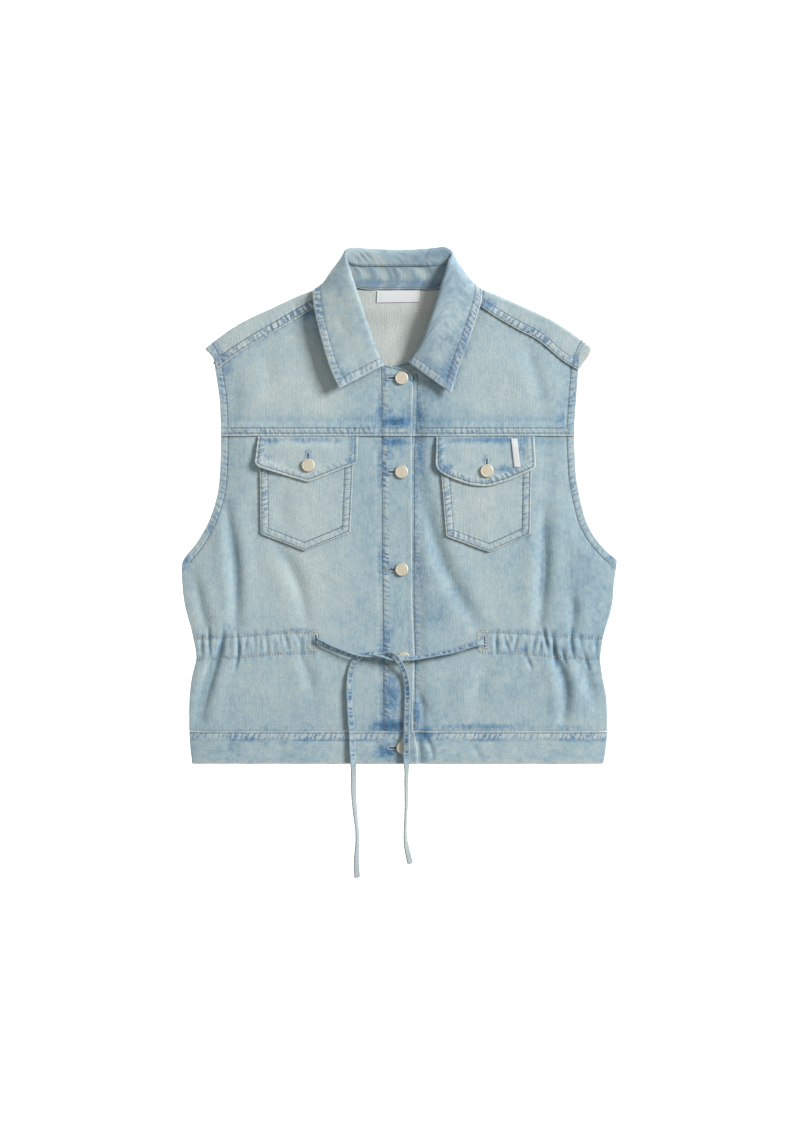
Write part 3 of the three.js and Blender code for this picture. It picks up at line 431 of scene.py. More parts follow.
def marks_at(d, s, line):
    """What a seam does at a distance d from it and a place s along it."""
    seed = line["seed"]
    flat = 0 * d
    uneven = smooth(-0.45, 0.6, noise(s, 0 * s, 34, seed + 40))
    height = line["puff"] * smooth(line["puff_to"] + 1.5, line["puff_to"] - 2.5, d)
    for row in line["rows"]:
        pucker = np.sin(2 * np.pi * s / 6.5 + 2.5 * noise(s, d, 11, seed + 42))
        height = height - 0.32 * hump(d, row, 1.3)
        height = height + 0.27 * pucker * hump(d, row, 5.0) * (0.4 + 0.6 * uneven)
    near, far = (*line["rows"], FAR, FAR)[:2]
    shown = line["rope"] > 0 or line["worn"] > 0 or len(line["rows"]) > 0
    return dict(
        height=height, d=d if shown else flat + FAR, s=s + flat, row_near=near + flat, row_far=far + flat,
        blue=line["blue"] * hump(d, line["blue_at"], line["blue_width"]) * (0.25 + 0.75 * uneven),
        rope=line["rope"] * (0.55 + 0.45 * uneven) + flat,
        worn=line["worn"] * (0.45 + 0.55 * noise(s, 0 * s, 15, seed + 43)) + flat,
    )


def merged(several):
    """Marks of several seams: heights add up, and the roping is the nearest seam's."""
    out = dict(several[0])
    for more in several[1:]:
        out["height"] = out["height"] + more["height"]
        out["blue"] = np.maximum(out["blue"], more["blue"])
        closer = more["d"] < out["d"]
        for key in ("d", "s", "rope", "worn", "row_near", "row_far"):
            out[key] = np.where(closer, more[key], out[key])
    return out


def marks(x, y, lines):
    several = []
    for line in lines:
        d, s, side = near_line(x, y, line["points"])
        found = marks_at(d, s, line)
        if line["rope_side"]:
            # Some seams have their rows on one side only.
            sewn = side == line["rope_side"]
            found["rope"] = found["rope"] * sewn
            found["row_near"] = np.where(sewn, found["row_near"], FAR)
        several.append(found)
    return merged(several)


# %% [markdown]
# ## From sections to cloth walls
#
# Every piece is a grid of points: rows across it, and the same number of columns in each. The wall has
# the grid as its middle and gets its thickness along the surface's normals. Towards its edges it thins
# to nothing in a half round, because the edge of folded cloth is soft, never a sharp rim.

# %% The wall builder
def spread(length, step, edge=(0.0, 0.16, 0.5, 1.1)):
    """Places from 0 to 1 that are close together at both ends, where the edge is rounded."""
    count = max(2, int(round((length - 2 * edge[-1] - 2 * step) / step)))
    inner = np.linspace(edge[-1] + step, length - edge[-1] - step, count)
    ends = np.array(edge)
    return np.concatenate([ends, inner, (length - ends)[::-1]]) / length


def from_border(grid):
    """Distance of each grid point from the nearest edge of the grid."""
    down = run_along(grid, 0)
    across = run_along(grid, 1)
    return np.minimum(np.minimum(down, down[-1:] - down), np.minimum(across, across[:, -1:] - across))


# The fine steps from a piece's first or last row, where its edge is rounded
FINE = np.array([0.0, 0.2, 0.6])


def rows_between(first, middles, last):
    return np.concatenate([first + FINE, *middles, last - FINE[::-1]])


def between_edges(ys, first, last, share):
    """x and y of a grid whose rows run from one edge to the other."""
    x = first[:, None] + (last - first)[:, None] * share[None, :]
    return x, np.broadcast_to(ys[:, None], x.shape).copy()


def normals_of(grid, upward_at=None):
    """The surface's normals, turned to point up at one place of the grid where that is given."""
    n = np.cross(np.gradient(grid, axis=1), np.gradient(grid, axis=0))
    n = n / np.maximum(np.linalg.norm(n, axis=2, keepdims=True), 1e-9)
    return -n if upward_at and n[upward_at][2] < 0 else n


def new_piece(name, points, faces, material, values=None):
    """An object from points in millimetres. values are what each point carries, such as its blue."""
    mesh = bpy.data.meshes.new(name)
    mesh.from_pydata((np.asarray(points, float) * MM).tolist(), [], faces)
    mesh.shade_smooth()
    for key, value in (values or {}).items():
        mark = mesh.attributes.new(key, "FLOAT", "POINT")
        mark.data.foreach_set("value", value.astype(np.float32))
    mesh.update()
    mesh.materials.append(material)
    piece = bpy.data.objects.new(name, mesh)
    bpy.context.scene.collection.objects.link(piece)
    return piece


def wall(name, middle, thickness, material, values, up=False, flip=False):
    """A closed mesh round a grid of points. A value given as a pair differs on its two faces."""
    n = normals_of(middle) * (-1.0 if flip else 1.0)
    if up:
        n = np.zeros_like(middle)
        n[..., 2] = 1.0
    r = np.clip(from_border(middle) / (0.62 * thickness), 0, 1)
    half = (0.5 * thickness * np.sqrt(1 - (1 - r) ** 2) + 0.02)[..., None]
    upper = middle + n * half
    lower = middle - n * half
    upper[..., 2] = np.maximum(upper[..., 2], 0.02)
    lower[..., 2] = np.maximum(lower[..., 2], 0.0)
    shape = middle.shape[:2]
    index = np.arange(shape[0] * shape[1]).reshape(shape)
    top = np.stack([index[:-1, :-1], index[:-1, 1:], index[1:, 1:], index[1:, :-1]], axis=-1)
    top = top.reshape(-1, 4)
    ring = np.concatenate([index[0, :], index[1:, -1], index[-1, -2::-1], index[-2:0:-1, 0]])
    after = np.roll(ring, -1)
    rim = np.stack([after, ring, ring + index.size, after + index.size], axis=-1)
    faces = np.concatenate([top, top[:, ::-1] + index.size, rim])
    points = np.concatenate([upper.reshape(-1, 3), lower.reshape(-1, 3)])
    probe = top[len(top) // 2]
    a, b, c = points[probe[:3]]
    if np.dot(np.cross(b - a, c - a), (upper - lower).reshape(-1, 3)[probe[0]]) < 0:
        faces = faces[:, ::-1]

    carried = {}
    for key, value in values.items():
        both = value if isinstance(value, tuple) else (value, value)
        carried[key] = np.concatenate([np.broadcast_to(v, shape).reshape(-1) for v in both])
    return new_piece(name, points, faces.tolist(), material, carried)


def cloth_marks(across, along, found, wash, inside=(0.0, 1.0)):
    """What the denim material reads: yarn directions, the wash and what the seams did."""
    return dict(across=across, along=along, wash=wash, blue=found["blue"], seam_distance=found["d"],
                seam_place=found["s"], roping=found["rope"], worn=found["worn"], row_near=found["row_near"],
                row_far=found["row_far"], inside=inside)


# %% [markdown]
# ## Where the wash is palest
#
# A stone wash reaches the middle of a panel most. The soft patches below are listed one by one: each has a
# middle, a reach both ways and an amount, negative where the cloth is bleached and positive where it
# kept its colour. Noise of two sizes breaks them up.

# %% Patches of the wash
# x, y, reach across, reach along, amount
WASH = [
    (-120, 135, 75, 60, -0.34), (120, 128, 70, 55, -0.22), (-45, 120, 22, 50, 0.18),
    (42, 110, 22, 60, 0.20), (-196, 120, 18, 70, 0.10), (194, 110, 16, 70, 0.14),
    (-95, -85, 75, 50, -0.26), (110, -95, 60, 45, -0.10), (-107, 10, 40, 35, -0.22),
    (100, 5, 38, 35, -0.24), (-222, -105, 28, 60, -0.20), (224, -100, 30, 60, 0.22),
    (-215, -225, 40, 40, 0.06), (215, -220, 40, 40, 0.14), (-40, -40, 16, 120, 0.12),
    (32, -60, 14, 120, 0.16), (-130, -225, 60, 30, -0.04), (60, -215, 50, 30, 0.02),
    (-2, 60, 14, 60, 0.16), (0, -120, 12, 60, 0.12), (60, -115, 30, 25, 0.18), (-115, 96, 90, 9, 0.28),
    (115, 96, 90, 9, 0.30), (125, 74, 80, 6, 0.35), (-190, -60, 30, 60, 0.10), (190, -60, 26, 60, 0.10),
]


# Where stones couldn't reach: beside crossing seams, round buttonholes and in the flaps' corners
# x, y, reach across, reach along, amount
# The stripes beside the front edge, at x 19 to 23, are partly kept indigo and partly painted shadow of the
# lapped edge
UNWASHED = [
    (-5, 96, 24, 8, 1.0), (-22, 104, 5, 24, 0.72), (7, 106, 8, 12, 0.45), (-12, 106, 7, 12, 0.50),
    (22, 104, 6, 28, 0.70), (-5, 73, 20, 6, 0.88), (-11, 60, 6, 12, 0.52), (2, 62, 5, 7, 0.40),
    (23, 58, 7, 24, 0.68), (19, 18, 8, 28, 0.50), (-8, 40, 9, 8, 0.45), (-10, -73, 13, 10, 0.50),
    (21, -78, 9, 28, 0.45), (22, -30, 8, 30, 0.30), (-15, -152, 9, 22, 0.55), (-10, -216, 13, 27, 0.74),
    (-10, -253, 27, 9, 1.05), (-14, -282, 17, 12, 0.85), (28, -262, 14, 10, 0.86),
    (20, -238, 6, 22, 0.72), (96, -254, 60, 4.5, 0.62), (190, -254, 40, 4, 0.35),
    (-120, -254, 80, 4, 0.30), (-53, 68, 4, 18, 0.60), (-55, 52, 9, 5, 0.60), (-150, 55, 12, 6, 0.40),
    (-150, 74, 16, 5, 0.62), (-100, 75, 50, 4, 0.55), (52, 43, 12, 6, 0.66), (46, 62, 4, 14, 0.50),
    (122, 42, 15, 5, 0.68), (139, 64, 9, 16, 0.52), (104, 75, 54, 4.5, 0.66), (-63, 150, 14, 12, 0.50),
    (-92, 204, 9, 20, 0.34), (55, 154, 15, 20, 0.74), (74, 190, 10, 26, 0.46), (-104, 219, 13, 7, 0.62),
    (102, 230, 12, 9, 0.66), (150, 203, 16, 7, 0.35), (-30, 256, 27, 4, 0.72), (17, 256, 26, 4, 0.66),
    (186, 97, 5, 14, 0.55), (204, 166, 8, 9, 0.70), (-247, -62, 8, 7, 0.75), (245, -60, 9, 5, 0.50),
    (-206, 170, 15, 9, 0.55), (-198, 157, 7, 6, 0.62), (-207, 110, 4, 26, 0.42), (205, 130, 5, 24, 0.45),
    (10, 148, 14, 8, 0.40), (-104, 52, 6, 6, 0.40), (-62, 180, 26, 22, 0.16), (-160, -30, 10, 6, 0.30),
    (148, -34, 9, 6, 0.42), (52, 40, 10, 16, 0.4), (-195, -140, 8, 6, 0.40), (-120, -143, 16, 4, 0.42),
    (-146, -170, 14, 4, 0.42), (143, -165, 6, 6, 0.55), (180, -152, 6, 14, 0.30),
    (200, -152, 6, 14, 0.35), (-215, -130, 8, 6, 0.35), (-12, 146, 9, 6, 0.66), (-12, 38.4, 9, 6, 0.66),
    (-12, -73.6, 9, 6, 0.70), (-12, -278, 10, 7, 0.70), (-104.7, 58, 5, 6, 0.80), (100, 52, 5, 6, 0.50),
    (143, 75, 8, 5, 0.55), (-97, -154, 8, 7, 0.70), (97, -156, 8, 7, 0.50),
]


def patch_at(x, y, patch):
    px, py, rx, ry, amount = patch
    return amount * np.exp(-(((x - px) / rx) ** 2 + ((y - py) / ry) ** 2))


def unwashed_at(x, y):
    value = 0 * x
    for patch in UNWASHED:
        value = np.maximum(value, patch_at(x, y, patch))
    return value


def washed(x, y, found):
    """Seam marks with the unwashed patches added."""
    return dict(found, blue=np.maximum(found["blue"], unwashed_at(x, y)))


def wash_at(x, y):
    value = 0.52 + 0.10 * noise(x, y, 52, 21) + 0.07 * noise(x, y, 17, 22)
    for patch in WASH:
        value = value + patch_at(x, y, patch)
    # Creases deepen the colour: kept indigo and painted shade in the pleats, painted shade in the folds
    return value + crease_indigo_and_painted_shade(x, y)


print(len(WASH), "washed and", len(UNWASHED), "unwashed patches")

# %% [markdown]
# ## Materials
#
# Denim is a cotton twill: blue warp yarns run down the vest and white weft yarns cross under them. Stone
# washed, it is matt, with thin pale streaks where thick warp yarns were rubbed. A streak is 1 to 2 mm
# wide and a few centimetres long. The twill's real ribs are 0.6 mm apart, too fine for this picture, so a
# grain of 2 mm stands for them.
#
# Colours are written as sRGB hex, as a paint chart would give them, and one function makes them linear.

# %% Colour and node helpers
def colour(hex_value):
    out = []
    for k in (1, 3, 5):
        c = int(hex_value[k:k + 2], 16) / 255
        out.append(c / 12.92 if c <= 0.04045 else ((c + 0.055) / 1.055) ** 2.4)
    return (*out, 1.0)


def add_node(tree, kind, inputs=None, **settings):
    """One node, its settings, and its inputs as values or as links from other nodes' outputs."""
    made = tree.nodes.new(kind)
    for key, value in settings.items():
        setattr(made, key, value)
    for key, value in (inputs or {}).items():
        if isinstance(value, bpy.types.NodeSocket):
            tree.links.new(value, made.inputs[key])
        else:
            made.inputs[key].default_value = value
    return made


def new_material(name):
    material = bpy.data.materials.new(name)
    material.use_nodes = True
    material.node_tree.nodes.clear()
    return material, material.node_tree


def finish(tree, inputs):
    """The surface itself, from the values and links of its inputs."""
    shader = add_node(tree, "ShaderNodeBsdfPrincipled", inputs)
    add_node(tree, "ShaderNodeOutputMaterial", {0: shader.outputs[0]})


def mix_colours(tree, factor, a, b):
    return add_node(tree, "ShaderNodeMix", {0: factor, 6: a, 7: b}, data_type="RGBA").outputs[2]


def math_node(tree, operation, a, b=0.0):
    return add_node(tree, "ShaderNodeMath", {0: a, 1: b}, operation=operation).outputs[0]


def product(tree, first, *others):
    for other in others:
        first = math_node(tree, "MULTIPLY", first, other)
    return first


def sum_of(tree, *terms):
    """A sum of outputs, each times a number, plus any plain number."""
    total = 0.0
    for term in terms:
        value, times = term if isinstance(term, tuple) else (term, 1.0)
        total = add_node(tree, "ShaderNodeMath", {0: value, 1: times, 2: total},
                         operation="MULTIPLY_ADD").outputs[0]
    return total


def step_between(tree, value, low, high):
    """0 below low, 1 above high, and a soft rise between them."""
    inputs = {"Value": value, "From Min": low, "From Max": high}
    return add_node(tree, "ShaderNodeMapRange", inputs, interpolation_type="SMOOTHSTEP").outputs[0]


# %% Stone washed denim
# What each point of the cloth carries
DENIM_READS = ("wash", "blue", "worn", "roping", "seam_distance", "seam_place", "row_near", "row_far",
               "inside", "across", "along")
# place from bleached to deep, colour
WASH_COLOURS = [(0.0, "#c2cbcb"), (0.28, "#b4c2c4"), (0.52, "#a6bac1"), (0.78, "#92abb8"), (1.0, "#7894a8")]
INDIGO = "#5b84a9"
# The deepest blue, partly indigo and partly painted shade
DEEP_INDIGO_AND_SHADE = "#38607a"
ROPING_INDIGO = "#577ba1"
ROPING_PALE = "#c8cfcc"
# Grey of the painted shade in the stitched rows' grooves
ROW_GROOVE_SHADE = "#566c7a"
RUBBED_EDGE = "#d0d1cb"


def denim_material(name, shift=0.0, pale=("#b3b9b6", "#d3d7d3")):
    material, tree = new_material(name)
    read = {key: add_node(tree, "ShaderNodeAttribute", attribute_name=key).outputs["Fac"]
            for key in DENIM_READS}
    distance = read["seam_distance"]

    def noise_over(first, first_mm, second, second_mm, detail, roughness, seed=0.0):
        at = add_node(tree, "ShaderNodeCombineXYZ", {
            "X": sum_of(tree, (read[first], 1 / first_mm)),
            "Y": sum_of(tree, (read[second], 1 / second_mm)),
            "Z": sum_of(tree, (read["inside"], 7.0), seed),
        })
        return add_node(tree, "ShaderNodeTexNoise", {"Vector": at.outputs[0], "Scale": 1.0, "Detail": detail,
                                                     "Roughness": roughness}).outputs[0]

    def yarn_noise(across_mm, along_mm, detail, roughness):
        found = noise_over("across", across_mm, "along", along_mm, detail, roughness)
        return step_between(tree, found, 0.28, 0.72)

    def line_at(place, half):
        away = math_node(tree, "ABSOLUTE", sum_of(tree, distance, (place, -1.0)))
        return step_between(tree, away, half + 0.3, half - 0.3)

    streak = yarn_noise(1.7, 22.0, 3.0, 0.6)
    grain = yarn_noise(1.8, 2.4, 3.0, 0.7)
    mottle = yarn_noise(5.0, 7.0, 4.0, 0.6)
    cloud = yarn_noise(14.0, 20.0, 4.0, 0.6)
    # 0 is bleached and 1 is deep
    depth = sum_of(tree, read["wash"], (cloud, 0.20), (mottle, 0.26), (streak, 0.11), (grain, 0.22),
                   shift - 0.395)
    ramp = add_node(tree, "ShaderNodeValToRGB", {0: depth})
    while len(ramp.color_ramp.elements) < len(WASH_COLOURS):
        ramp.color_ramp.elements.new(0.5)
    for element, (place, value) in zip(ramp.color_ramp.elements, WASH_COLOURS):
        element.position = place
        element.color = colour(value)
    # Roping: dashes of blue and of pale across the band between a seam's rows, never evenly spaced
    wander = noise_over("seam_place", 10.0, "seam_distance", 60.0, 2.0, 0.5, 3.0)
    fleck = noise_over("seam_place", 3.0, "seam_distance", 3.4, 3.0, 0.65, 5.0)
    in_band = product(tree, step_between(tree, sum_of(tree, distance, (fleck, -2.0)), 0.2, 1.4),
                      step_between(tree, sum_of(tree, distance, (fleck, 4.0)), 13.0, 10.4), read["roping"])
    slant = sum_of(tree, (read["seam_place"], 2 * math.pi / 6.8), (distance, 0.42), (wander, 19.0))
    dash = sum_of(tree, math_node(tree, "SINE", slant), (fleck, 5.6), (grain, 0.9), -3.30)
    dash = step_between(tree, sum_of(tree, dash, (read["roping"], 1.0)), 0.45, 1.75)
    between = sum_of(tree, (dash, -1.0), 1.0)
    # Blue is left in flecks, thicker where the stones reached least. Where the blue is strongest, as where
    # seams cross at the placket, it goes darker still: partly deep indigo and partly painted shade.
    patch = sum_of(tree, (read["blue"], 1.1), (mottle, 0.30), (grain, 0.44), (streak, 0.28), -0.51)
    patch = product(tree, step_between(tree, patch, 0.08, 0.95), step_between(tree, read["blue"], 0.03, 0.26))
    deepest_and_shade = step_between(tree, sum_of(tree, read["blue"], (mottle, 0.40), (grain, 0.30)), 0.98, 1.42)
    # The rows are painted as grey lines of shade in their stitched grooves, darkest at the needle's holes,
    # drawn 3 mm apart, because the real 2 mm is finer than a pixel
    hole_wave = math_node(tree, "SINE", sum_of(tree, (read["seam_place"], 2 * math.pi / 3.0)))
    holes = step_between(tree, hole_wave, -0.7, 0.5)
    rows = math_node(tree, "MAXIMUM", line_at(read["row_near"], 0.70), line_at(read["row_far"], 0.70))
    rows = product(tree, rows, step_between(tree, distance, 14.0, 13.0), sum_of(tree, (holes, 0.52), 0.32))
    edge = product(tree, read["worn"], step_between(tree, distance, 1.7, 0.8))
    ridge = product(tree, read["worn"], line_at(sum_of(tree, read["row_far"], 1.7), 0.6), 0.45)
    body = ramp.outputs[0]
    laid_over = [
        (product(tree, in_band, between, 0.55), ROPING_PALE), (product(tree, patch, 0.95), INDIGO),
        (product(tree, deepest_and_shade, 0.80), DEEP_INDIGO_AND_SHADE), (product(tree, in_band, dash, 0.88), ROPING_INDIGO),
        (rows, ROW_GROOVE_SHADE), (math_node(tree, "MAXIMUM", edge, ridge), RUBBED_EDGE),
    ]
    for factor, over in laid_over:
        body = mix_colours(tree, factor, body, colour(over))
    # Thick and thin yarns are lighter and darker, whatever their blue
    yarns = sum_of(tree, (grain, 0.22), (streak, 0.08), 0.85)
    body = add_node(tree, "ShaderNodeHueSaturation", {"Value": yarns, "Color": body}).outputs[0]
    weft = sum_of(tree, (streak, 0.2), (grain, 0.5), (cloud, 0.3))
    reverse = mix_colours(tree, weft, colour(pale[0]), colour(pale[1]))
    relief = sum_of(tree, (streak, 0.35), (grain, 0.5))
    bump = add_node(tree, "ShaderNodeBump", {"Height": relief, "Strength": 0.8, "Distance": 0.0004})
    finish(tree, {"Base Color": mix_colours(tree, read["inside"], body, reverse), "Roughness": 0.92,
                  "Normal": bump.outputs[0], "Sheen Weight": 0.05, "Sheen Roughness": 0.5,
                  "Specular IOR Level": 0.2})
    return material


denim = denim_material("stone_washed_denim")
tape_denim = denim_material("stone_washed_denim_tape", shift=0.06, pale=("#8c9494", "#a5acac"))
print("materials:", denim.name, tape_denim.name)

# %% [markdown]
# Thread, brass and label tape are simpler. Spun polyester thread is a little shiny and twisted. The
# buttons are stamped brass with a pale gold plating that was tumbled until satin, so light spreads on them.
# The labels are white woven tape, left blank.

# %% Thread, plated brass and label tape
def fine_noise(tree, scale, detail):
    """Noise in the object's own metres. scale is per metre, the same each way or given for x, y and z."""
    where = add_node(tree, "ShaderNodeTexCoord").outputs["Object"]
    scales = scale if isinstance(scale, tuple) else (scale, scale, scale)
    at = add_node(tree, "ShaderNodeMapping", {"Vector": where, "Scale": scales}).outputs[0]
    return add_node(tree, "ShaderNodeTexNoise", {"Vector": at, "Scale": 1.0, "Detail": detail}).outputs[0]


def thread_material(name, hex_value):
    # The twist of a thread shows as lighter and darker flecks, 0.7 mm apart
    material, tree = new_material(name)
    light = sum_of(tree, (fine_noise(tree, 1400.0, 2.0), 0.5), 0.75)
    light = add_node(tree, "ShaderNodeHueSaturation", {"Value": light, "Color": colour(hex_value)}).outputs[0]
    finish(tree, {"Base Color": light, "Roughness": 0.6, "Sheen Weight": 0.1})
    return material


def brass_material():
    # Tumbling leaves a fine unevenness of 0.4 mm in the shine, and the plating a slow change of tone
    material, tree = new_material("satin_plated_brass")
    fine = fine_noise(tree, 2600.0, 3.0)
    tone = mix_colours(tree, fine_noise(tree, 350.0, 2.0), colour("#d2c7b1"), colour("#e9e1cf"))
    bump = add_node(tree, "ShaderNodeBump", {"Height": fine, "Strength": 0.12, "Distance": 0.0001}).outputs[0]
    finish(tree, {"Base Color": tone, "Metallic": 0.45, "Roughness": sum_of(tree, (fine, 0.18), 0.46),
                  "Normal": bump})
    return material


def label_material():
    # The weave's picks run across the tape, drawn finer along it than across it
    material, tree = new_material("white_woven_tape")
    weave = fine_noise(tree, (700, 2200, 700), 2.0)
    tone = mix_colours(tree, weave, colour("#cfd3d4"), colour("#e6e8e9"))
    bump = add_node(tree, "ShaderNodeBump", {"Height": weave, "Strength": 0.3, "Distance": 0.0001}).outputs[0]
    finish(tree, {"Base Color": tone, "Roughness": 0.55, "Normal": bump, "Sheen Weight": 0.1})
    return material


thread_grey = thread_material("polyester_thread_grey_blue", "#72828c")
thread_pale = thread_material("polyester_thread_pale_blue", "#d3dbdb")
thread_sand = thread_material("polyester_thread_sand", "#d2c4a6")
thread_blue = thread_material("polyester_thread_blue", "#3f5b75")
brass = brass_material()
label_tape = label_material()
print("materials:", [made.name for made in bpy.data.materials])

# %% [markdown]
# ## The camera and the drawstring first
#
# The photograph looks straight down, and a pixel is 1.15 mm. The string's two ends are made before
# anything else, and their routes have to agree with the CAD part's. Each end is a narrow
# strip of denim, folded and stitched into a flat tape. It turns on edge where the two ends are twisted
# round each other, so its width changes along the way, and a loft with a changing section is the
# simplest way to say that.

# %% Camera
# Rows of pixels in the photograph, the millimetres that one of them shows and the camera's height
PHOTO_ROWS = 1126
PIXEL = 1.15
HIGH = 2.6
SENSOR = 36
camera_data = bpy.data.cameras.new("camera")
camera = bpy.data.objects.new("camera", camera_data)
bpy.context.scene.collection.objects.link(camera)
camera.location = (0.0006, -0.0660, HIGH)
camera_data.sensor_width = SENSOR
camera_data.lens = SENSOR * HIGH / (PHOTO_ROWS * PIXEL * MM)
bpy.context.scene.camera = camera
print("lens:", round(camera_data.lens, 1), "mm")

# %% Drawstring
TAPE_WIDE = 7.6
# x, y, height of the flat tape's middle, turn in degrees
LEFT_STRING = [
    (-95.5, -154.4, 8.3, 25), (-89.0, -158.0, 8.8, 30), (-81.5, -161.6, 9.0, 35),
    (-67.0, -167.4, 9.6, 38), (-58.0, -170.6, 10.6, 42), (-50.0, -172.6, 10.6, 52),
    (-42.0, -173.8, 9.2, 62), (-33.0, -174.2, 8.7, 64), (-25.0, -172.6, 8.9, 62),
    (-17.0, -170.6, 11.0, 55), (-10.0, -170.4, 14.2, 38), (-4.5, -173.6, 15.8, 22),
    (0.6, -181.0, 14.6, 12), (5.4, -192.0, 10.4, 14), (8.2, -204.0, 9.2, 16), (9.0, -218.0, 8.9, 12),
    (8.8, -232.0, 8.8, 10), (8.3, -246.0, 8.6, 12), (8.1, -260.0, 9.2, 14), (7.8, -270.0, 11.2, 16),
    (7.8, -281.0, 11.4, 4), (7.8, -290.0, 9.4, -20), (8.1, -298.0, 7.0, -40), (8.2, -306.0, 3.6, -54),
    (8.0, -316.0, 1.9, -60), (8.0, -330.0, 1.4, -64), (7.9, -345.0, 1.4, -68), (7.1, -362.0, 1.4, -72),
    (6.7, -378.0, 1.4, -68), (8.0, -391.0, 1.4, -52), (10.2, -402.0, 1.4, -40), (12.5, -411.6, 1.4, -36),
]
RIGHT_STRING = [
    (97.0, -156.9, 8.3, 30), (90.0, -158.2, 8.8, 34), (81.0, -160.4, 9.0, 38), (66.0, -165.6, 8.8, 46),
    (48.0, -169.6, 8.4, 56), (32.0, -172.6, 8.4, 60), (21.0, -174.2, 9.4, 58), (12.0, -175.0, 10.4, 48),
    (3.0, -175.2, 10.2, 42), (-4.0, -175.4, 9.9, 48), (-12.0, -174.4, 10.4, 62),
    (-21.0, -171.8, 10.8, 62), (-30.0, -169.8, 10.0, 60), (-38.0, -170.6, 8.6, 52),
    (-46.0, -173.6, 8.1, 34), (-52.0, -179.6, 8.1, 14), (-55.8, -190.0, 8.0, 0),
    (-57.4, -204.0, 8.0, -10), (-57.2, -224.0, 7.8, -12), (-56.0, -245.0, 7.6, -10),
    (-54.6, -262.0, 7.8, -8), (-53.8, -280.0, 7.8, -14), (-53.3, -291.0, 7.6, -24),
    (-53.0, -298.0, 6.8, -34), (-52.8, -306.0, 3.6, -42), (-52.7, -316.0, 1.9, -44),
    (-52.6, -329.0, 1.4, -48), (-50.9, -352.0, 1.4, -56), (-48.6, -373.0, 1.4, -66),
    (-48.4, -388.0, 1.4, -64), (-49.4, -407.0, 1.4, -44), (-49.0, -419.0, 1.4, -36),
    (-48.6, -427.4, 1.4, -34),
]


# Fourteen places round the flattened tape, with two stitched hollows on its face: half width, half thickness
TAPE_SECTION = [
    (-1, 0), (-0.93, 0.75), (-0.72, 1.0), (-0.5, 0.72), (0, 1.0), (0.5, 0.72), (0.72, 1.0), (0.93, 0.75),
    (1, 0), (0.9, -0.8), (0.45, -0.95), (0, -1.0), (-0.45, -0.95), (-0.9, -0.8),
]
STRING_POINTS = 330
UP = np.array([0, 0, 1.0])


def tube_faces(rings, around):
    """Faces between rings of points that are numbered one ring after another."""
    faces = []
    for i in range(rings - 1):
        for k in range(around):
            a = i * around + k
            b = i * around + (k + 1) % around
            faces.append((a, b, b + around, a + around))
    return faces


def stands_for(piece, slot_name, *nodes):
    """Every piece rides on the part's one body, and most take the place of a CAD node."""
    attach(piece, "root")
    if nodes:
        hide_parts(*nodes)


def make_string(name, table, node, seed):
    line = smooth_line(table, STRING_POINTS)
    tangent = np.gradient(line[:, :3], axis=0)
    tangent /= np.linalg.norm(tangent, axis=1, keepdims=True)
    side = np.cross(UP, tangent)
    side /= np.linalg.norm(side, axis=1, keepdims=True)
    over = np.cross(tangent, side)
    turn = np.radians(line[:, 3])[:, None]
    path = line[:, :3] + UP * TAPE_WIDE / 2 * np.abs(np.sin(turn)) * 0.9
    across = side * np.cos(turn) + over * np.sin(turn)
    face = over * np.cos(turn) - side * np.sin(turn)
    s = lengths_along(path)
    half = TAPE_WIDE / 2 * (1 + 0.04 * noise(s, 0 * s, 14, seed + 5))
    thick = 1.0 + 0.10 * np.sin(2 * np.pi * s / 5.5 + 2 * noise(s, 0 * s, 9, seed))
    points = np.stack([path + across * (half * a)[:, None] + face * (thick * b)[:, None]
                       for a, b in TAPE_SECTION], axis=1)
    for end in (0, -1):
        points[end] = path[end] + 0.8 * (points[end] - path[end])
    points[..., 2] = np.maximum(points[..., 2], 0.15)
    around = len(TAPE_SECTION)
    faces = tube_faces(STRING_POINTS, around)
    faces.append(tuple(range(around))[::-1])
    faces.append(tuple((STRING_POINTS - 1) * around + k for k in range(around)))
    tail = smooth(HEM_Y + 10, HEM_Y - 12, path[:, 1])
    side_place = np.array([a for a, b in TAPE_SECTION])[None, :]

    def round_it(value):
        return (np.atleast_1d(value)[:, None] * np.ones((STRING_POINTS, around))).reshape(-1)

    # The tape's one stitched seam runs down its middle, with roping that fades in the rubbed ends
    carried = {key: round_it(value) for key, value in dict(
        wash=0.64 + 0.12 * noise(s, 0 * s, 40, seed + 2) - 0.1 * tail,
        inside=0.08 + 0.75 * tail,
        blue=0.24 - 0.22 * tail,
        roping=(1.05 + 0.3 * noise(s, 0 * s, 30, seed + 1)) * (1 - 0.9 * tail),
        worn=0, seam_place=s, along=s, row_near=FAR, row_far=FAR,
    ).items()}
    carried["across"] = (half[:, None] * side_place).reshape(-1)
    carried["seam_distance"] = np.tile(4.6 + 9.0 * np.abs(side_place[0] - 0.1), STRING_POINTS)
    piece = new_piece(name, points.reshape(-1, 3), faces, tape_denim, carried)
    stands_for(piece, "denim_tape", node)
    print(name, "is", round(float(s[-1])), "mm long")


make_string("string_left", LEFT_STRING, "drawstring_left", 60)
make_string("string_right", RIGHT_STRING, "drawstring_right", 70)

# %% [markdown]
# ## The seam lines
#
# Now the sewing is drawn, as it would be on the pattern. A turned edge has one or two rows a few
# millimetres in, and the yoke and shoulder seams are lapped and sewn twice. The armholes are turned
# under by 9 mm, with their row 8.5 mm in.

# %% Lines of the sewing
# Distances of the stitched rows from their edges
ARMHOLE_ROW = 8.5
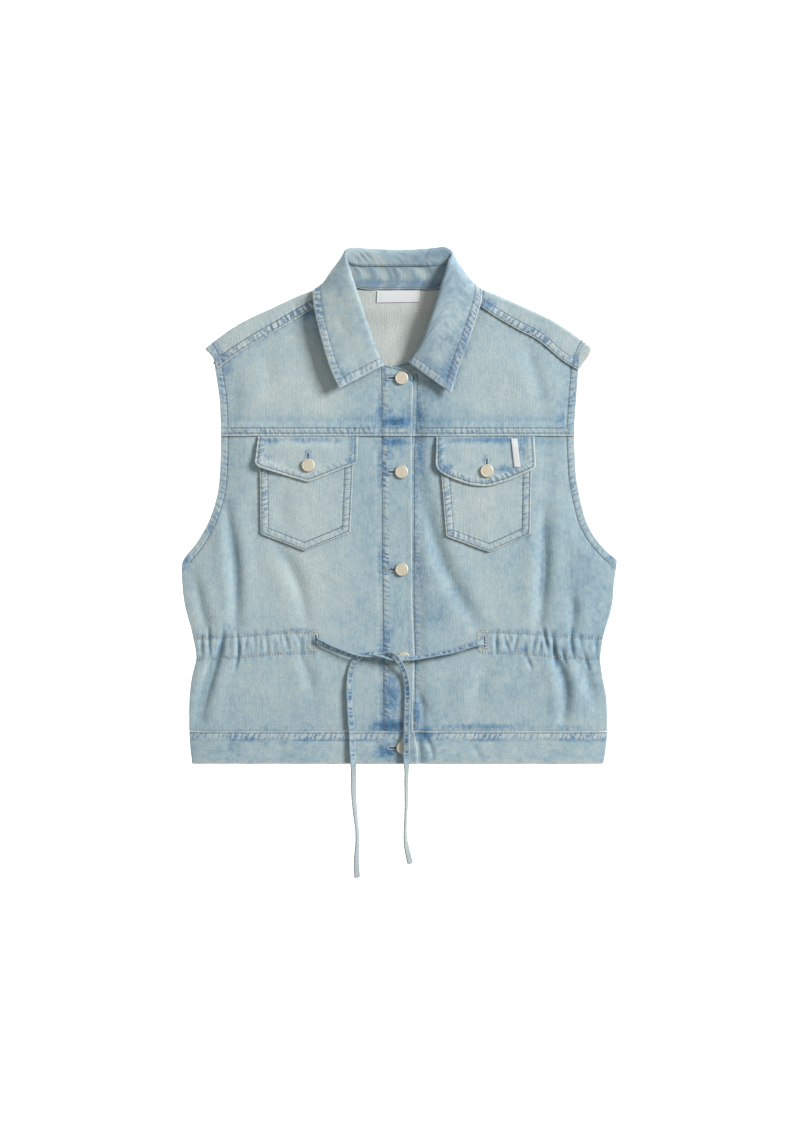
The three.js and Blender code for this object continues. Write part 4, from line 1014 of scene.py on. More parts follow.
# y of an armhole's lower and upper end
ARMHOLE = (-66, 168)
YOKE_ROWS = (3.6, 9.6)
YOKE = {"left": [(-206, YOKE_Y), (15, YOKE_Y)], "right": [(-14, YOKE_Y), (202, YOKE_Y)]}
FRONT_EDGE = [(15.0, -258.8), (15.3, -236), (17.2, -172), (14.2, -110), (14.0, 60), (14.2, 89), (15.6, 136)]
FACING_ROW = [(-17.6, -259), (-17.8, -160), (-19.2, -60), (-20.0, 79), (-20.4, 156)]
UNDER_ROW = [(17.6, -258), (18.6, -172), (17.0, -110), (17.2, 60), (20.2, 96), (20.6, 148)]


def side_line(side, low, high, step=6.0):
    ys = np.arange(low, high, step)
    return np.column_stack([side_at(ys, side), ys])


def front_edge_at(ys):
    return np.interp(ys, [y for x, y in FRONT_EDGE], [x for x, y in FRONT_EDGE])


EDGE_LINES = {
    "left": [
        seam_line(FRONT_EDGE, puff=0.35, puff_to=5, blue=0.12, worn=0.9, seed=3),
        seam_line([(x - 2.4, y) for x, y in FACING_ROW], rows=(2.4,), blue=0.50, blue_at=1.2, blue_width=3.4,
                  rope=1.0, seed=5, rope_side=-1),
    ],
    "right": [
        # The blue beside the left front's edge is partly kept indigo and partly painted shadow of the lapped
        # edge
        seam_line([(x - 3.0, y) for x, y in UNDER_ROW], rows=(3.0,), blue=0.50, blue_at=3.6, blue_width=3.4,
                  rope=0.5, seed=6, rope_side=-1),
    ],
}
armhole_lines = for_both(lambda side: seam_line(
    side_line(side, *ARMHOLE), rows=(ARMHOLE_ROW,), puff=0.5, puff_to=8.5, blue=0.34, blue_at=5.5,
    blue_width=5.0, rope=0.70, worn=0.9, seed=11 + NUMBER[side]))
side_lines = for_both(lambda side: seam_line(
    side_line(side, -300, -60), blue=0.14, blue_at=2.0, blue_width=8.0, worn=0.35, seed=15 + NUMBER[side]))
print("front edge drawn from", FRONT_EDGE[0], "to", FRONT_EDGE[-1])

# %% [markdown]
# ## The four front panels
#
# The lower fronts run from under the yoke seam to the hem band. Their columns are 1.4 mm apart where the
# waist is gathered, and their rows close up at the casing. The upper fronts lap over them, 1.6 mm higher
# at the seam, and tuck under the collar and the shoulder.

# %% Lower fronts
def lower_lines(side):
    return [
        seam_line([(-245, BAND_TOP_Y), (245, BAND_TOP_Y)], blue=0.34, blue_at=1.0, blue_width=6.0, seed=20),
        seam_line([(-245, YOKE_Y), (245, YOKE_Y)], blue=0.30, blue_at=2.0, blue_width=6.0, seed=21),
        armhole_lines[side], side_lines[side], *EDGE_LINES[side],
    ]


def casing_blue(x, y):
    """The casing's rows pinch the cloth and keep it a little blue."""
    up = y - CASING_Y + casing_droop(x)
    on = np.maximum(smooth(-92, -99, x), smooth(95, 102, x))
    rows = hump(up, CASING_HALF, 1.9) + hump(up, -CASING_HALF, 1.9)
    beside = hump(up, CASING_HALF + 3, 5) + hump(up, -CASING_HALF - 3, 5)
    return (0.20 * hump(up, 0, 10) + np.maximum(0.50 * rows, 0.22 * beside)) * on


def flat_panel(name, x, y, top, found, thickness=CLOTH, paler=0.0):
    """A wall whose upper face lies at a height, with the seams' relief added."""
    middle = np.stack([x, y, top + found["height"] - thickness / 2], axis=-1)
    return wall(name, middle, thickness, denim, cloth_marks(x, y, found, wash_at(x, y) - paler), up=True)


def lower_front(side):
    ys = rows_between(BAND_TOP_Y + 0.4, [
        np.arange(BAND_TOP_Y + 2.6, -186, 1.9), np.arange(-185.5, -134, 1.35), np.arange(-133, 88.6, 1.9),
    ], 90.4)
    gathered = np.full(len(ys), float(GATHER_START[side]))
    begin = front_edge_at(ys) if side == "left" else np.full(len(ys), -14.0)
    near = spread(110, 1.8)
    x_near, y_near = between_edges(ys, begin, gathered, near[near < 0.97])
    far = np.concatenate([np.linspace(0, 0.985, 98), [0.9925, 0.998, 1.0]])
    x_far, y_far = between_edges(ys, gathered, side_at(ys, side), far)
    x = np.hstack([x_near, x_far])
    y = np.hstack([y_near, y_far])
    found = washed(x, y, marks(x, y, lower_lines(side)))
    found["blue"] = np.maximum(found["blue"], casing_blue(x, y))
    found["height"] = found["height"] * smooth(90, 76, y)
    return flat_panel("lower_front_panel_" + side, x, y, TOP[side](x, y), found)


lower_fronts = for_both(lower_front)
print({piece.name: len(piece.data.vertices) for piece in lower_fronts.values()}, "points")

# %% Upper fronts
def tucked_at(y, side):
    """x of an upper front's edge, which reaches 9 mm under the shoulder seam."""
    fold, seam_end = SHOULDERS[side][:, :2], SHOULDERS[side][:, 2:]
    inward = fold - seam_end
    edge = seam_end + 9 * inward / np.linalg.norm(inward, axis=1, keepdims=True)
    return np.interp(y, edge[:, 1], edge[:, 0])


YOKE_LINES = for_both(lambda side: seam_line(
    YOKE[side], rows=YOKE_ROWS, puff=0.25, puff_to=9.6, blue=0.22, blue_at=11.0, blue_width=4.0, rope=0.85,
    worn=0.9, seed=25 + NUMBER[side]))


def upper_top(side):
    """Height of an upper front, which laps over the lower one below its seam."""
    return lambda x, y: TOP[side](x, y) + (1 - smooth(91, 97, y)) * (LAYER_GAP + CLOTH)


def upper_lines(side):
    ys = np.linspace(145, 240, 24)
    neck = np.column_stack([neck_at(ys, side), ys])
    return [
        YOKE_LINES[side], armhole_lines[side],
        seam_line(neck, rows=(2.4,), blue=0.30, blue_at=3.0, worn=0.8, seed=30),
        seam_line(SHOULDERS[side][:, 2:4], blue=0.30, blue_at=0.0, blue_width=7.0, seed=31),
        *EDGE_LINES[side],
    ]


def upper_front(side):
    ys = rows_between(YOKE_Y, [
        np.arange(YOKE_Y + 1.9, 140, 1.7), np.arange(141, 162, 0.8), np.arange(163, 233, 2.0),
    ], 235)
    outer = np.where(ys < 163, side_at(ys, side), tucked_at(ys, side))
    inner = neck_at(ys, side)
    if side == "left":
        inner = np.where(ys < 137, front_edge_at(ys), np.minimum(inner, 15.6))
    x, y = between_edges(ys, inner, outer, spread(222, 1.8))
    found = washed(x, y, marks(x, y, upper_lines(side)))
    return flat_panel("upper_front_panel_" + side, x, y, upper_top(side)(x, y), found)


upper_fronts = for_both(upper_front)
print({piece.name: len(piece.data.vertices) for piece in upper_fronts.values()}, "points")

# %% [markdown]
# ## The back
#
# The back lies on the table with its pale inner side up. It shows inside the neck, at the shoulder tips
# and where its shoulders turn over onto the front. The turned strips are lofted round the fold from the
# same two lines as in CAD, and end in a lapped seam with two rows of stitches.

# %% Back panel and shoulder strips
def back_panel():
    outline = np.vstack([SIDES[SIDES[:, 0] > BAND_TOP_Y], SHOULDER_OUTLINE[1:]])
    ys = rows_between(BAND_TOP_Y + 0.4, [
        np.arange(BAND_TOP_Y + 4, 150, 4.0), np.arange(151, 190, 1.5), np.arange(191, 246, 2.2),
    ], 248)
    left, right = [np.interp(ys, outline[:, 0], outline[:, COLUMN[side]]) for side in BOTH]
    x, y = between_edges(ys, left, right, spread(480, 4.4))
    lift = 0.25 * (noise(x, y, 30, 51) + 1) * smooth(200, 225, y) * (1 - smooth(60, 90, np.abs(x)))
    middle = np.stack([x, y, NECK_LIFT * neck_lift(x, y) + CLOTH / 2 + 0.02 + lift], axis=-1)
    found = marks(x, y, list(armhole_lines.values()))
    return wall("back_panel", middle, CLOTH, denim,
                cloth_marks(x, y, found, wash_at(x, y), inside=(1.0, 0.0)), up=True)


# How far each shoulder's cut end is hollowed at the armhole, and its wash, from 0 for bleached to 1 for deep
HOLLOW = {"left": 2.5, "right": 6.5}
SHOULDER_WASH = {"left": 0.20, "right": 0.38}
# Columns of a shoulder strip: under the back, round the fold, flat, and close together over the lap
UNDER = [7.0, 4.0]
ROUND = 9
FLAT = 8
LAP = np.array([10, 9, 8, 7, 6, 5, 4, 3, 2, 1.1, 0.5, 0.16, 0.0])
# Distances of the stitched rows from the lapped edge and from the end at the armhole
LAP_ROWS = (1.8, 9.6)
END_ROW = 8.0
# The column from which a strip lies on top, so that its seams show as relief, and one on its lap
TOP_COLUMN = 8
LAP_COLUMN = 20


def shoulder_section(side, fold, inward, width):
    """Distances from the fold and heights of one section, from inside the back round to the lapped edge."""
    def lap(d):
        p = fold + inward * d[:, None]
        return TOP[side](p[:, 0], p[:, 1]) + 2 * LAYER_GAP + CLOTH / 2

    bottom = NECK_LIFT * float(neck_lift(*fold)) + CLOTH / 2
    high = float(lap(np.array([width - 10]))[0])
    radius = (high - bottom) / 2
    turn = np.radians(np.linspace(-90, 90, ROUND))
    round_d = radius * (1 - np.cos(turn)) + CLOTH / 2
    flat_d = np.linspace(radius + 1.8, width - 12, FLAT)
    d = np.concatenate([UNDER, round_d, flat_d, width - LAP])
    z = np.concatenate([[bottom, bottom], bottom + radius * (1 + np.sin(turn)), np.full(FLAT, high),
                        lap(width - LAP)])
    return d, z


def strip_sections(side, count):
    """Middle lines of the turned shoulder, and how far each of their points lies from the lapped edge."""
    place = np.linspace(0, 5, count)
    table = np.column_stack([through(np.arange(6), column, place) for column in SHOULDERS[side].T])
    folds = table[:, :2]
    inward = table[:, 2:] - folds
    width = np.linalg.norm(inward, axis=1)
    inward = inward / width[:, None]
    along = np.gradient(folds, axis=0)
    along = along / np.linalg.norm(along, axis=1, keepdims=True)
    flat_part = np.concatenate([np.zeros(len(UNDER) + ROUND), np.linspace(0, 1, FLAT), np.ones(len(LAP))])
    rows = []
    depth = []
    for i in range(count):
        d, z = shoulder_section(side, folds[i], inward[i], width[i])
        flat = folds[i] + inward[i] * d[:, None]
        rumpled = 0.15 * noise(flat[:, 0], flat[:, 1], 17, 52) * flat_part
        # The end at the armhole is cut in a hollow curve, so the strip stops short halfway across
        hollow = np.sin(np.pi * np.clip(d / width[i], 0, 1)) ** 2 * max(0.0, 1 - place[i] / 0.8) ** 2
        pulled = flat + along[i] * (HOLLOW[side] * hollow)[:, None]
        rows.append(np.column_stack([pulled, z + rumpled]))
        depth.append(width[i] - d)
    return np.array(rows), np.array(depth)


def shoulder_strip(side):
    sections, depth = strip_sections(side, 96)
    row = np.ones((1, depth.shape[1]))
    s = lengths_along(sections[:, -1])[:, None] * row
    end_d = lengths_along(sections[:, LAP_COLUMN])[:, None] * row
    lap = seam(rows=LAP_ROWS, puff=0.25, puff_to=9.6, blue=0.22, blue_at=11, rope=0.95, worn=0.9,
               seed=36 + NUMBER[side])
    end = seam(rows=(END_ROW,), puff=0.3, puff_to=8, blue=0.4, blue_at=8, rope=0.2, worn=0.8,
               seed=39 + NUMBER[side])
    x = sections[..., 0]
    y = sections[..., 1]
    found = washed(x, y, merged([marks_at(depth, s, lap), marks_at(end_d, depth, end)]))
    sections[..., 2] += found["height"] * (np.arange(depth.shape[1]) >= TOP_COLUMN)
    wash = SHOULDER_WASH[side] + 0.14 * noise(x, y, 26, 53)
    carried = cloth_marks(x, y, found, wash)
    return wall("shoulder_" + side, sections, CLOTH, denim, carried, flip=side == "right"), sections


def join(name, pieces):
    """One object from several, with the first one's materials."""
    for other in bpy.context.selected_objects:
        other.select_set(False)
    with bpy.context.temp_override(active_object=pieces[0], selected_editable_objects=pieces):
        bpy.ops.object.join()
    pieces[0].name = name
    pieces[0].data.name = name
    return pieces[0]


strips = for_both(shoulder_strip)
back = join("back_of_vest", [back_panel()] + [piece for piece, sections in strips.values()])
print(back.name, len(back.data.vertices), "points")

# %% [markdown]
# ## The hem band
#
# The band is a strip folded in two, sewn over the panels' raw edges. It runs round the sides and across
# the back, and its left end laps over its right end at the front, as the fronts do. A section across it is
# swept round, with the side seam's tight turn at each side.

# %% Hem band
BAND_ROW = 1.8
# x0, y0, x1, y1, bow, depth, half width
BAND_CREASES = [
    (27, -262, 39, -291, 2, 1.3, 3.2), (22, -268, 24, -294, 0, 0.9, 3.0), (-18, -291, -4, -274, 0, 0.9, 4.0),
    (-30, -262, -22, -288, 0, 0.6, 5.0), (85, -275, 92, -292, 0, 0.7, 4.5),
    (-140, -264, -134, -290, 0, 0.5, 6),
]
BAND_END = [(17.0, BAND_TOP_Y), (20.4, -279), (21.4, HEM_Y)]


def creased(x, y, creases):
    return sum(fold_height(crease, x, y) for crease in creases)


def band_height(x, y):
    return cloth_height(x, y) + rumple(x, y) + creased(x, y, BAND_CREASES)


# How far each end of the band lies above the cloth's height. The left one laps over the right one.
BAND_RAISE = {
    "left": lambda x: 0.6 + 0.3 * smooth(-20, -8, x),
    "right": lambda x: -1.45 + 2.05 * smooth(22, 34, x),
}

band_lines = [
    seam_line([(-300, BAND_TOP_Y), (300, BAND_TOP_Y)], rows=(BAND_ROW,), puff=0.3, puff_to=9.6, blue=0.62,
              blue_at=10, blue_width=2.2, rope=0.85, worn=0.9, seed=61),
    seam_line([(-300, HEM_Y), (300, HEM_Y)], puff=0.35, puff_to=3, blue=0.22, blue_at=5, worn=1.1, seed=62),
]
band_end = seam_line(BAND_END, puff=0.2, puff_to=4, blue=0.3, blue_at=3.5, worn=0.9, seed=63)


def band_middle(y, columns):
    """One round of the band: left leg, turn, the stretch under the back, turn and right leg."""
    left, right = [float(side_at(np.array(y), side)) for side in BOTH]
    end = float(np.interp(-y, [-end_y for end_x, end_y in BAND_END], [end_x for end_x, end_y in BAND_END]))
    radius = (EDGE_TOP + 0.6 - FOLDED) / 2

    def leg(side, x):
        ys = np.full_like(x, y)
        return np.column_stack([x, ys, band_height(x, ys) + BAND_RAISE[side](x) - FOLDED / 2])

    def turn(x, out):
        a = np.radians(np.linspace(90, -90, 9))
        reach = x + out * (radius * np.cos(a) - radius - FOLDED / 2)
        return np.column_stack([reach, np.full(9, y), FOLDED / 2 + radius * (1 + np.sin(a))])

    left_leg = leg("left", end + (left + 8 - end) * columns)
    right_leg = leg("right", np.linspace(right - 8, -14.0, len(columns)))
    under = np.column_stack([np.linspace(left + 12, right - 12, 60), np.full(60, y), np.full(60, FOLDED / 2)])
    return np.vstack([left_leg, turn(left, -1), under, turn(right, 1)[::-1], right_leg])


def hem_band():
    rows_y = BAND_TOP_Y + (HEM_Y - BAND_TOP_Y) * spread(37.4, 1.5)
    columns = spread(250, 1.7)
    middle = np.array([band_middle(y, columns) for y in rows_y])
    x = middle[..., 0]
    y = middle[..., 1]
    number = np.arange(middle.shape[1])
    is_left = number < len(columns)
    in_front = is_left | (number >= len(number) - len(columns))
    plain = washed(x, y, marks(x, y, band_lines))
    ended = merged([plain, marks(x, y, [band_end])])
    found = {key: np.where(is_left, ended[key], plain[key]) for key in plain}
    middle[..., 2] += found["height"] * in_front
    wash = wash_at(x, y) + 0.12 * noise(x, y, 7, 64) + 0.10 * noise(x, y, 3.4, 65)
    return wall("hem_band_strip", middle, FOLDED, denim, cloth_marks(y, x, found, wash, inside=(0.0, 0.3)))


band = hem_band()
print(band.name, len(band.data.vertices), "points")

# %% [markdown]
# ## The collar
#
# The collar is one leaf that stands up from the neck, rolls over and falls. On the front it lies on the
# shoulders and its points stand a little off the cloth. At the back it rolls away over the table, and its
# fall lies under the vest. A table gives the roll and the outer edge at 21 places round the neck, and a
# section at each place is drawn through seven points.

# %% Collar sections
# roll x, roll y, roll z, edge x, edge y, edge z, how much it lies on the front
COLLAR = [
    (-17.0, 160.3, 14.0, -69.0, 133.0, 19.0, 1), (-25.3, 175.5, 17.5, -79.6, 156.9, 19.0, 1),
    (-35.7, 205.4, 21.5, -91.0, 196.0, 18.0, 1), (-45.4, 235.3, 23.0, -97.4, 224.0, 16.5, 1),
    (-54.2, 261.7, 23.0, -99.0, 238.5, 14.5, 1), (-59.8, 280.0, 22.0, -98.6, 245.5, 11.0, 0.9),
    (-62.5, 291.0, 19.0, -94.0, 247.5, 3.5, 0.5), (-56.5, 294.6, 16.5, -84.0, 242.0, 1.0, 0.12),
    (-42.0, 294.2, 15.5, -60.0, 234.0, 0.95, 0), (-20.0, 293.1, 15.0, -24.0, 232.0, 0.95, 0),
    (1.5, 292.6, 15.0, 1.5, 231.5, 0.95, 0), (24.0, 293.3, 15.0, 27.0, 232.0, 0.95, 0),
    (42.0, 294.6, 15.5, 61.0, 234.0, 0.95, 0), (53.0, 295.0, 16.5, 81.0, 242.0, 1.0, 0.12),
    (59.5, 290.3, 19.0, 90.5, 248.0, 3.5, 0.5), (56.0, 280.0, 21.5, 94.4, 246.0, 11.0, 0.9),
    (50.5, 261.7, 22.5, 94.4, 237.5, 13.5, 1), (41.5, 233.0, 22.0, 89.8, 220.0, 14.0, 1),
    (31.5, 203.0, 20.0, 80.5, 192.0, 13.5, 1), (21.0, 178.5, 17.0, 70.0, 164.0, 13.0, 1),
    (9.0, 164.3, 14.0, 59.0, 128.0, 13.0, 1),
]
NECK_SEAM_Y = 247.8
STAND_SEAM_Y = 276.0


def collar_station(row):
    """Seven points of one section, from the foot in the neck seam over the roll to the outer edge."""
    rx, ry, rz, ex, ey, ez, front = row
    long = math.hypot(ex - rx, ey - ry)
    taper = float(smooth(158, 200, np.array(ry)))

    def outward(d, z):
        return rx + (ex - rx) / long * d, ry + (ey - ry) / long * d, z

    fx, fy, _ = outward(5 + 10 * taper, 0)
    top = TOP["left" if rx < 0 else "right"]
    foot_z = max(float(top(np.array([fx]), np.array([fy]))[0]) + 1.5, 5.4)
    on_front = [
        (fx, fy, foot_z),
        outward(2.6 + 1.0 * taper, foot_z + (rz - foot_z) * 0.55),
        outward(2.3 + 0.6 * taper, foot_z + (rz - foot_z) * 0.72),
        outward(0.5, rz - 2.2),
        outward(2.4, rz - 0.1),
        outward(0.55 * long, rz * 0.5 + ez * 0.5 + 0.5),
        (ex, ey, ez),
    ]
    behind = [
        (rx * 0.94, NECK_SEAM_Y, NECK_LIFT + CLOTH + 1.3),
        (rx * 0.96, STAND_SEAM_Y - 0.5, 11.6),
        (rx * 0.97, STAND_SEAM_Y + 0.7, 12.4),
        (rx * 0.99, ry - 2.8, rz - 0.8),
        (rx, ry - 0.1, 8.5),
        (rx * 0.8 + ex * 0.2, ry - 12, 1.6),
        (ex, ey, ez),
    ]
    return (1 - front) * np.array(behind) + front * np.array(on_front)


stations = np.array([collar_station(row) for row in COLLAR])
print("the collar has", len(stations), "stations")


# %% Collar leaf
COLLAR_THICK = 1.8
COLLAR_ROW = 9.4
ROOT_ROW = 1.6
COLLAR_CREASES = [
    (-48, 290, -38, 279, 0, 0.9, 1.6), (34, 293, 23, 279, 1, 0.9, 1.5), (-44, 292, -31, 280, 0, 0.5, 1.5),
]


def lanes_through(columns, share):
    """The lines that join the same points of all sections, read at shares of their length."""
    return [pick(smooth_line(stations[:, k], 700), share) for k in columns]


def collar_leaf():
    lanes = lanes_through(range(7), spread(520, 1.7))
    down = spread(78, 1.5)
    # The leaf's root laps a little over the stand's top, as the seam between them does
    roots = lanes[2] + 0.10 * (lanes[0] - lanes[2]) + 1.2 * UP
    grid = np.array([pick(smooth_line(section, 160), down) for section in zip(roots, *lanes[3:])])
    across = run_along(grid, 1)
    along = run_along(grid, 0)
    to_edge = across[:, -1:] - across
    to_end = np.minimum(along, along[-1:] - along)
    s = along[:, -1:] * np.ones_like(to_edge)
    edge_line = seam(rows=(COLLAR_ROW,), puff=0.55, puff_to=9.4, blue=0.40, blue_at=9, blue_width=5, rope=1.2,
                     worn=0.9, seed=81)
    found = merged([marks_at(to_edge, s, edge_line), marks_at(to_end, across, dict(edge_line, seed=84))])
    root = marks_at(across, along, seam(rows=(ROOT_ROW,), blue=0.35, blue_at=1.0, blue_width=4.0, seed=87))
    n = normals_of(grid, upward_at=(len(grid) // 2 - 120, -12))
    x = grid[..., 0]
    y = grid[..., 1]
    rumpled = 0.34 * noise(along, across, 26, 89) + 0.22 * noise(along, across, 11, 90)
    rumpled = rumpled + 0.12 * noise(along, across, 5.5, 88)
    lift = found["height"] * smooth(3, 9, across) + 0.6 * root["height"] + rumpled * smooth(0, 14, across)
    lift = lift + creased(x, y, COLLAR_CREASES) * smooth(276, 279, y)
    kept = np.maximum(root["blue"], unwashed_at(x, y) * smooth(20, 50, across))
    found["blue"] = np.maximum(found["blue"], kept)
    wash = 0.62 + 0.24 * smooth(0, 30, x) - 0.12 * hump(to_edge, 30, 18) * smooth(10, 30, to_end)
    for amount, size, seed in ((0.13, 45, 91), (0.15, 15, 92), (0.13, 6, 93), (0.12, 3.2, 94)):
        wash = wash + amount * noise(along, across, size, seed)
    grid = grid + n * lift[..., None]
    carried = cloth_marks(along, across, found, wash, inside=(0.0, 0.15))
    return wall("collar_leaf", grid, COLLAR_THICK, denim, carried), grid, n


collar, collar_grid, collar_normals = collar_leaf()
print(collar.name, len(collar.data.vertices), "points")

# %% Collar stand
STAND_ROW = 2.2


def collar_stand():
    foot, top = lanes_through(range(2), spread(430, 2.0))
    grid = foot[:, None, :] + (top - foot)[:, None, :] * spread(28, 1.4)[None, :, None]
    across = np.linalg.norm(grid - grid[:, :1], axis=2)
    along = run_along(grid, 0)
    low_line = seam(rows=(STAND_ROW,), puff=0.3, puff_to=4, blue=0.75, blue_at=5.0, blue_width=6.0, worn=0.8,
                    seed=95)
    top_line = seam(blue=0.5, blue_at=0.0, blue_width=5.0, seed=96)
    found = merged([marks_at(across, along, low_line), marks_at(across[:, -1:] - across, along, top_line)])
    found["blue"] = np.maximum(found["blue"], unwashed_at(grid[..., 0], grid[..., 1]))
    n = normals_of(grid, upward_at=(len(grid) // 2, 6))
    ripple = 0.50 * noise(along, across * 0.25, 4.5, 97) + 0.25 * noise(along, across, 17, 98)
    grid = grid + n * (found["height"] + ripple)[..., None]
    wash = 0.74 + 0.46 * noise(along, across * 0.3, 4.5, 97)
    carried = cloth_marks(along, across, found, wash, inside=(0.0, 0.2))
    return wall("collar_stand_band", grid, CLOTH, denim, carried), grid, n


stand, stand_grid, stand_normals = collar_stand()
print(stand.name, len(stand.data.vertices), "points")

# %% [markdown]
# ## Pockets and flaps
#
# Both are flat patches with a pointed foot. A patch is a grid between its top edge and its lower outline,
# lifted off the front by its own thickness. The left flap has curled away at its outer corner.

# %% Outlines of the patches
POCKETS = {
    "left": dict(top=[(-160.4, 64), (-52.0, 64)],
                 low=[(-159.4, -31.5), (-158.0, -33.0), (-134, -42.4), (-110.6, -51.6), (-108.6, -52.3),
                      (-106.6, -51.6), (-82, -41.4), (-57.6, -31.2), (-56.2, -30.2)]),
    "right": dict(top=[(45.4, 64), (151.8, 64)],
                  low=[(53.4, -34.0), (54.8, -35.6), (78, -44.6), (101.4, -53.0), (103.5, -53.4),
                       (105.6, -52.8), (127, -43.2), (148.6, -33.6), (150.1, -32.2)]),
}
FLAPS = {
    "left": dict(top=[(-162.4, 79.0), (-47.4, 79.0)],
                 low=[(-165.7, 50.6), (-165.0, 47.2), (-161.4, 44.0), (-155, 41.6), (-131, 34.2),
                      (-108, 27.4), (-104.7, 26.7), (-101.2, 27.6), (-75, 38.0), (-56, 45.2), (-50.2, 47.6),
                      (-48.4, 50.4)]),
    "right": dict(top=[(42.0, 79.0), (154.6, 79.0)],
                  low=[(41.4, 50.0), (42.4, 43.0), (46.6, 38.0), (58.6, 31.4), (79.8, 23.9), (100.9, 21.9),
                       (123.7, 28.1), (145.0, 37.2), (153.6, 41.4), (156.4, 44.8)]),
}


def patch_grid(shape, across, down):
    """x and y of a grid between a patch's top edge and its lower outline."""
    top, low = [pick(smooth_line(shape[key], 300), across) for key in ("top", "low")]
    grid = top[None, :, :] + (low - top)[None, :, :] * down[:, None, None]
    return grid[..., 0], grid[..., 1]


def outline_of(shape):
    return np.vstack([[shape["top"][0]], shape["low"], [shape["top"][-1]]])


POCKET_ROWS = (1.9, 9.4)
FLAP_ROW = 3.2
POCKET_EDGE = for_both(lambda side: seam_line(
    outline_of(POCKETS[side]), rows=POCKET_ROWS, puff=0.5, puff_to=9.6, blue=0.10, rope=0.70, worn=0.9,
    seed=101 + NUMBER[side]))
FLAP_EDGE = for_both(lambda side: seam_line(
    outline_of(FLAPS[side]), rows=(FLAP_ROW,), puff=0.45, puff_to=9.0, blue=0.16, rope=0.75, worn=0.95,
    seed=111 + NUMBER[side]))


def pocket_face(side):
    return lambda x, y: TOP[side](x, y) + 0.6 + CLOTH + 0.25 * (1 + noise(x, y, 34, 103))


def flap_bottom(side):
    def bottom(x, y):
        low = smooth(60, 30, y)
        if side == "left":
            curl = 5.0 * (1 - smooth(0, 40, x + 165.5)) * low
        else:
            curl = 0.8 * (1 - smooth(0, 30, 156.4 - x)) * low
        rise = LAYER_GAP + (2.3 - LAYER_GAP) * smooth(78, 65, y)
        return TOP[side](x, y) + rise + curl + 0.5 * low
    return bottom


# %% Pockets
def pocket(side):
    x, y = patch_grid(POCKETS[side], spread(108, 1.5), spread(110, 1.5))
    found = washed(x, y, marks(x, y, [POCKET_EDGE[side]]))
    return flat_panel("pocket_" + side + "_patch", x, y, pocket_face(side)(x, y), found, paler=0.06)


pockets = for_both(pocket)
print([piece.name for piece in pockets.values()])

# %% Flaps
FLAP_PALER = {"left": 0.12, "right": 0.06}


def flap_marks(side, x, y):
    """The flap's seam marks, with its whole height above the table."""
    found = marks(x, y, [FLAP_EDGE[side]])
    found["height"] = flap_bottom(side)(x, y) + FOLDED + found["height"] + 0.2 * noise(x, y, 15, 115)
    return found


def flap_face(side):
    return lambda x, y: flap_marks(side, x, y)["height"]


def flap(side):
    x, y = patch_grid(FLAPS[side], spread(116, 1.4), spread(52, 1.3))
    found = washed(x, y, flap_marks(side, x, y))
    return flat_panel("flap_" + side + "_patch", x, y, 0.0, found, FOLDED, FLAP_PALER[side])


flaps = for_both(flap)
print([piece.name for piece in flaps.values()])

# %% [markdown]
# ## Labels
#
# A woven label is a short piece of white tape with its ends folded under. Both labels stay blank. The
# neck label hangs from the neck seam, and the small one is caught in the side of the right flap.

# %% Blank labels
LABEL_THICK = 0.6
LABEL_EDGE = (0.0, 0.1, 0.3, 0.6)


def label(name, corners, top, bend):
    a, b, c, d = [np.array(p, float) for p in corners]
    u = spread(np.linalg.norm(b - a), 0.9, edge=LABEL_EDGE)[None, :, None]
    v = spread(np.linalg.norm(d - a), 0.9, edge=LABEL_EDGE)[:, None, None]
    flat = (a + (b - a) * u) * (1 - v) + (d + (c - d) * u) * v
    x = flat[..., 0]
    y = flat[..., 1]
    z = top(x, y) + LABEL_THICK / 2 + bend * np.sin(np.pi * v[..., 0]) + 0.08 * noise(x, y, 7, 121)
    # The ends are folded under, which leaves a faint line beside each
    border = 0.12 * (hump(u[..., 0], 0.05, 0.02) + hump(u[..., 0], 0.95, 0.02))
    return wall(name, np.stack([x, y, z - border], axis=-1), LABEL_THICK, label_tape, {})


neck_label = label("neck_label_tape", [(-25.6, 246.4), (23.3, 247.0), (22.6, 233.4), (-26.3, 232.6)],
                   lambda x, y: NECK_LIFT * neck_lift(x, y) + CLOTH + LAYER_GAP + 0.35, 0.2)
flap_label = label("flap_label_tape", [(127.8, 77.0), (134.8, 76.6), (138.4, 43.6), (131.4, 44.0)],
                   lambda x, y: flap_face("right")(x, y) + 0.5, 0.5)
print(neck_label.name, flap_label.name)

# %% [markdown]
# ## Buttons
#
# A jacket button is a stamped brass cap over a tack: a flat rim with a soft outer edge and a shallow dish
# inside it. Its section is turned round its axis. The cap's usual lettering is left off.

# %% Buttons
# radius, height above the seat
BUTTON_PROFILE = [
    (0.0, 0.15), (5.4, 0.15), (6.8, 0.5), (7.4, 1.1), (7.5, 1.6), (7.3, 2.1), (6.9, 2.42), (6.5, 2.55),
    (6.1, 2.52), (5.7, 2.36), (5.2, 2.34), (4.7, 2.42), (3.0, 2.44), (0.0, 2.45),
]


AROUND = 56


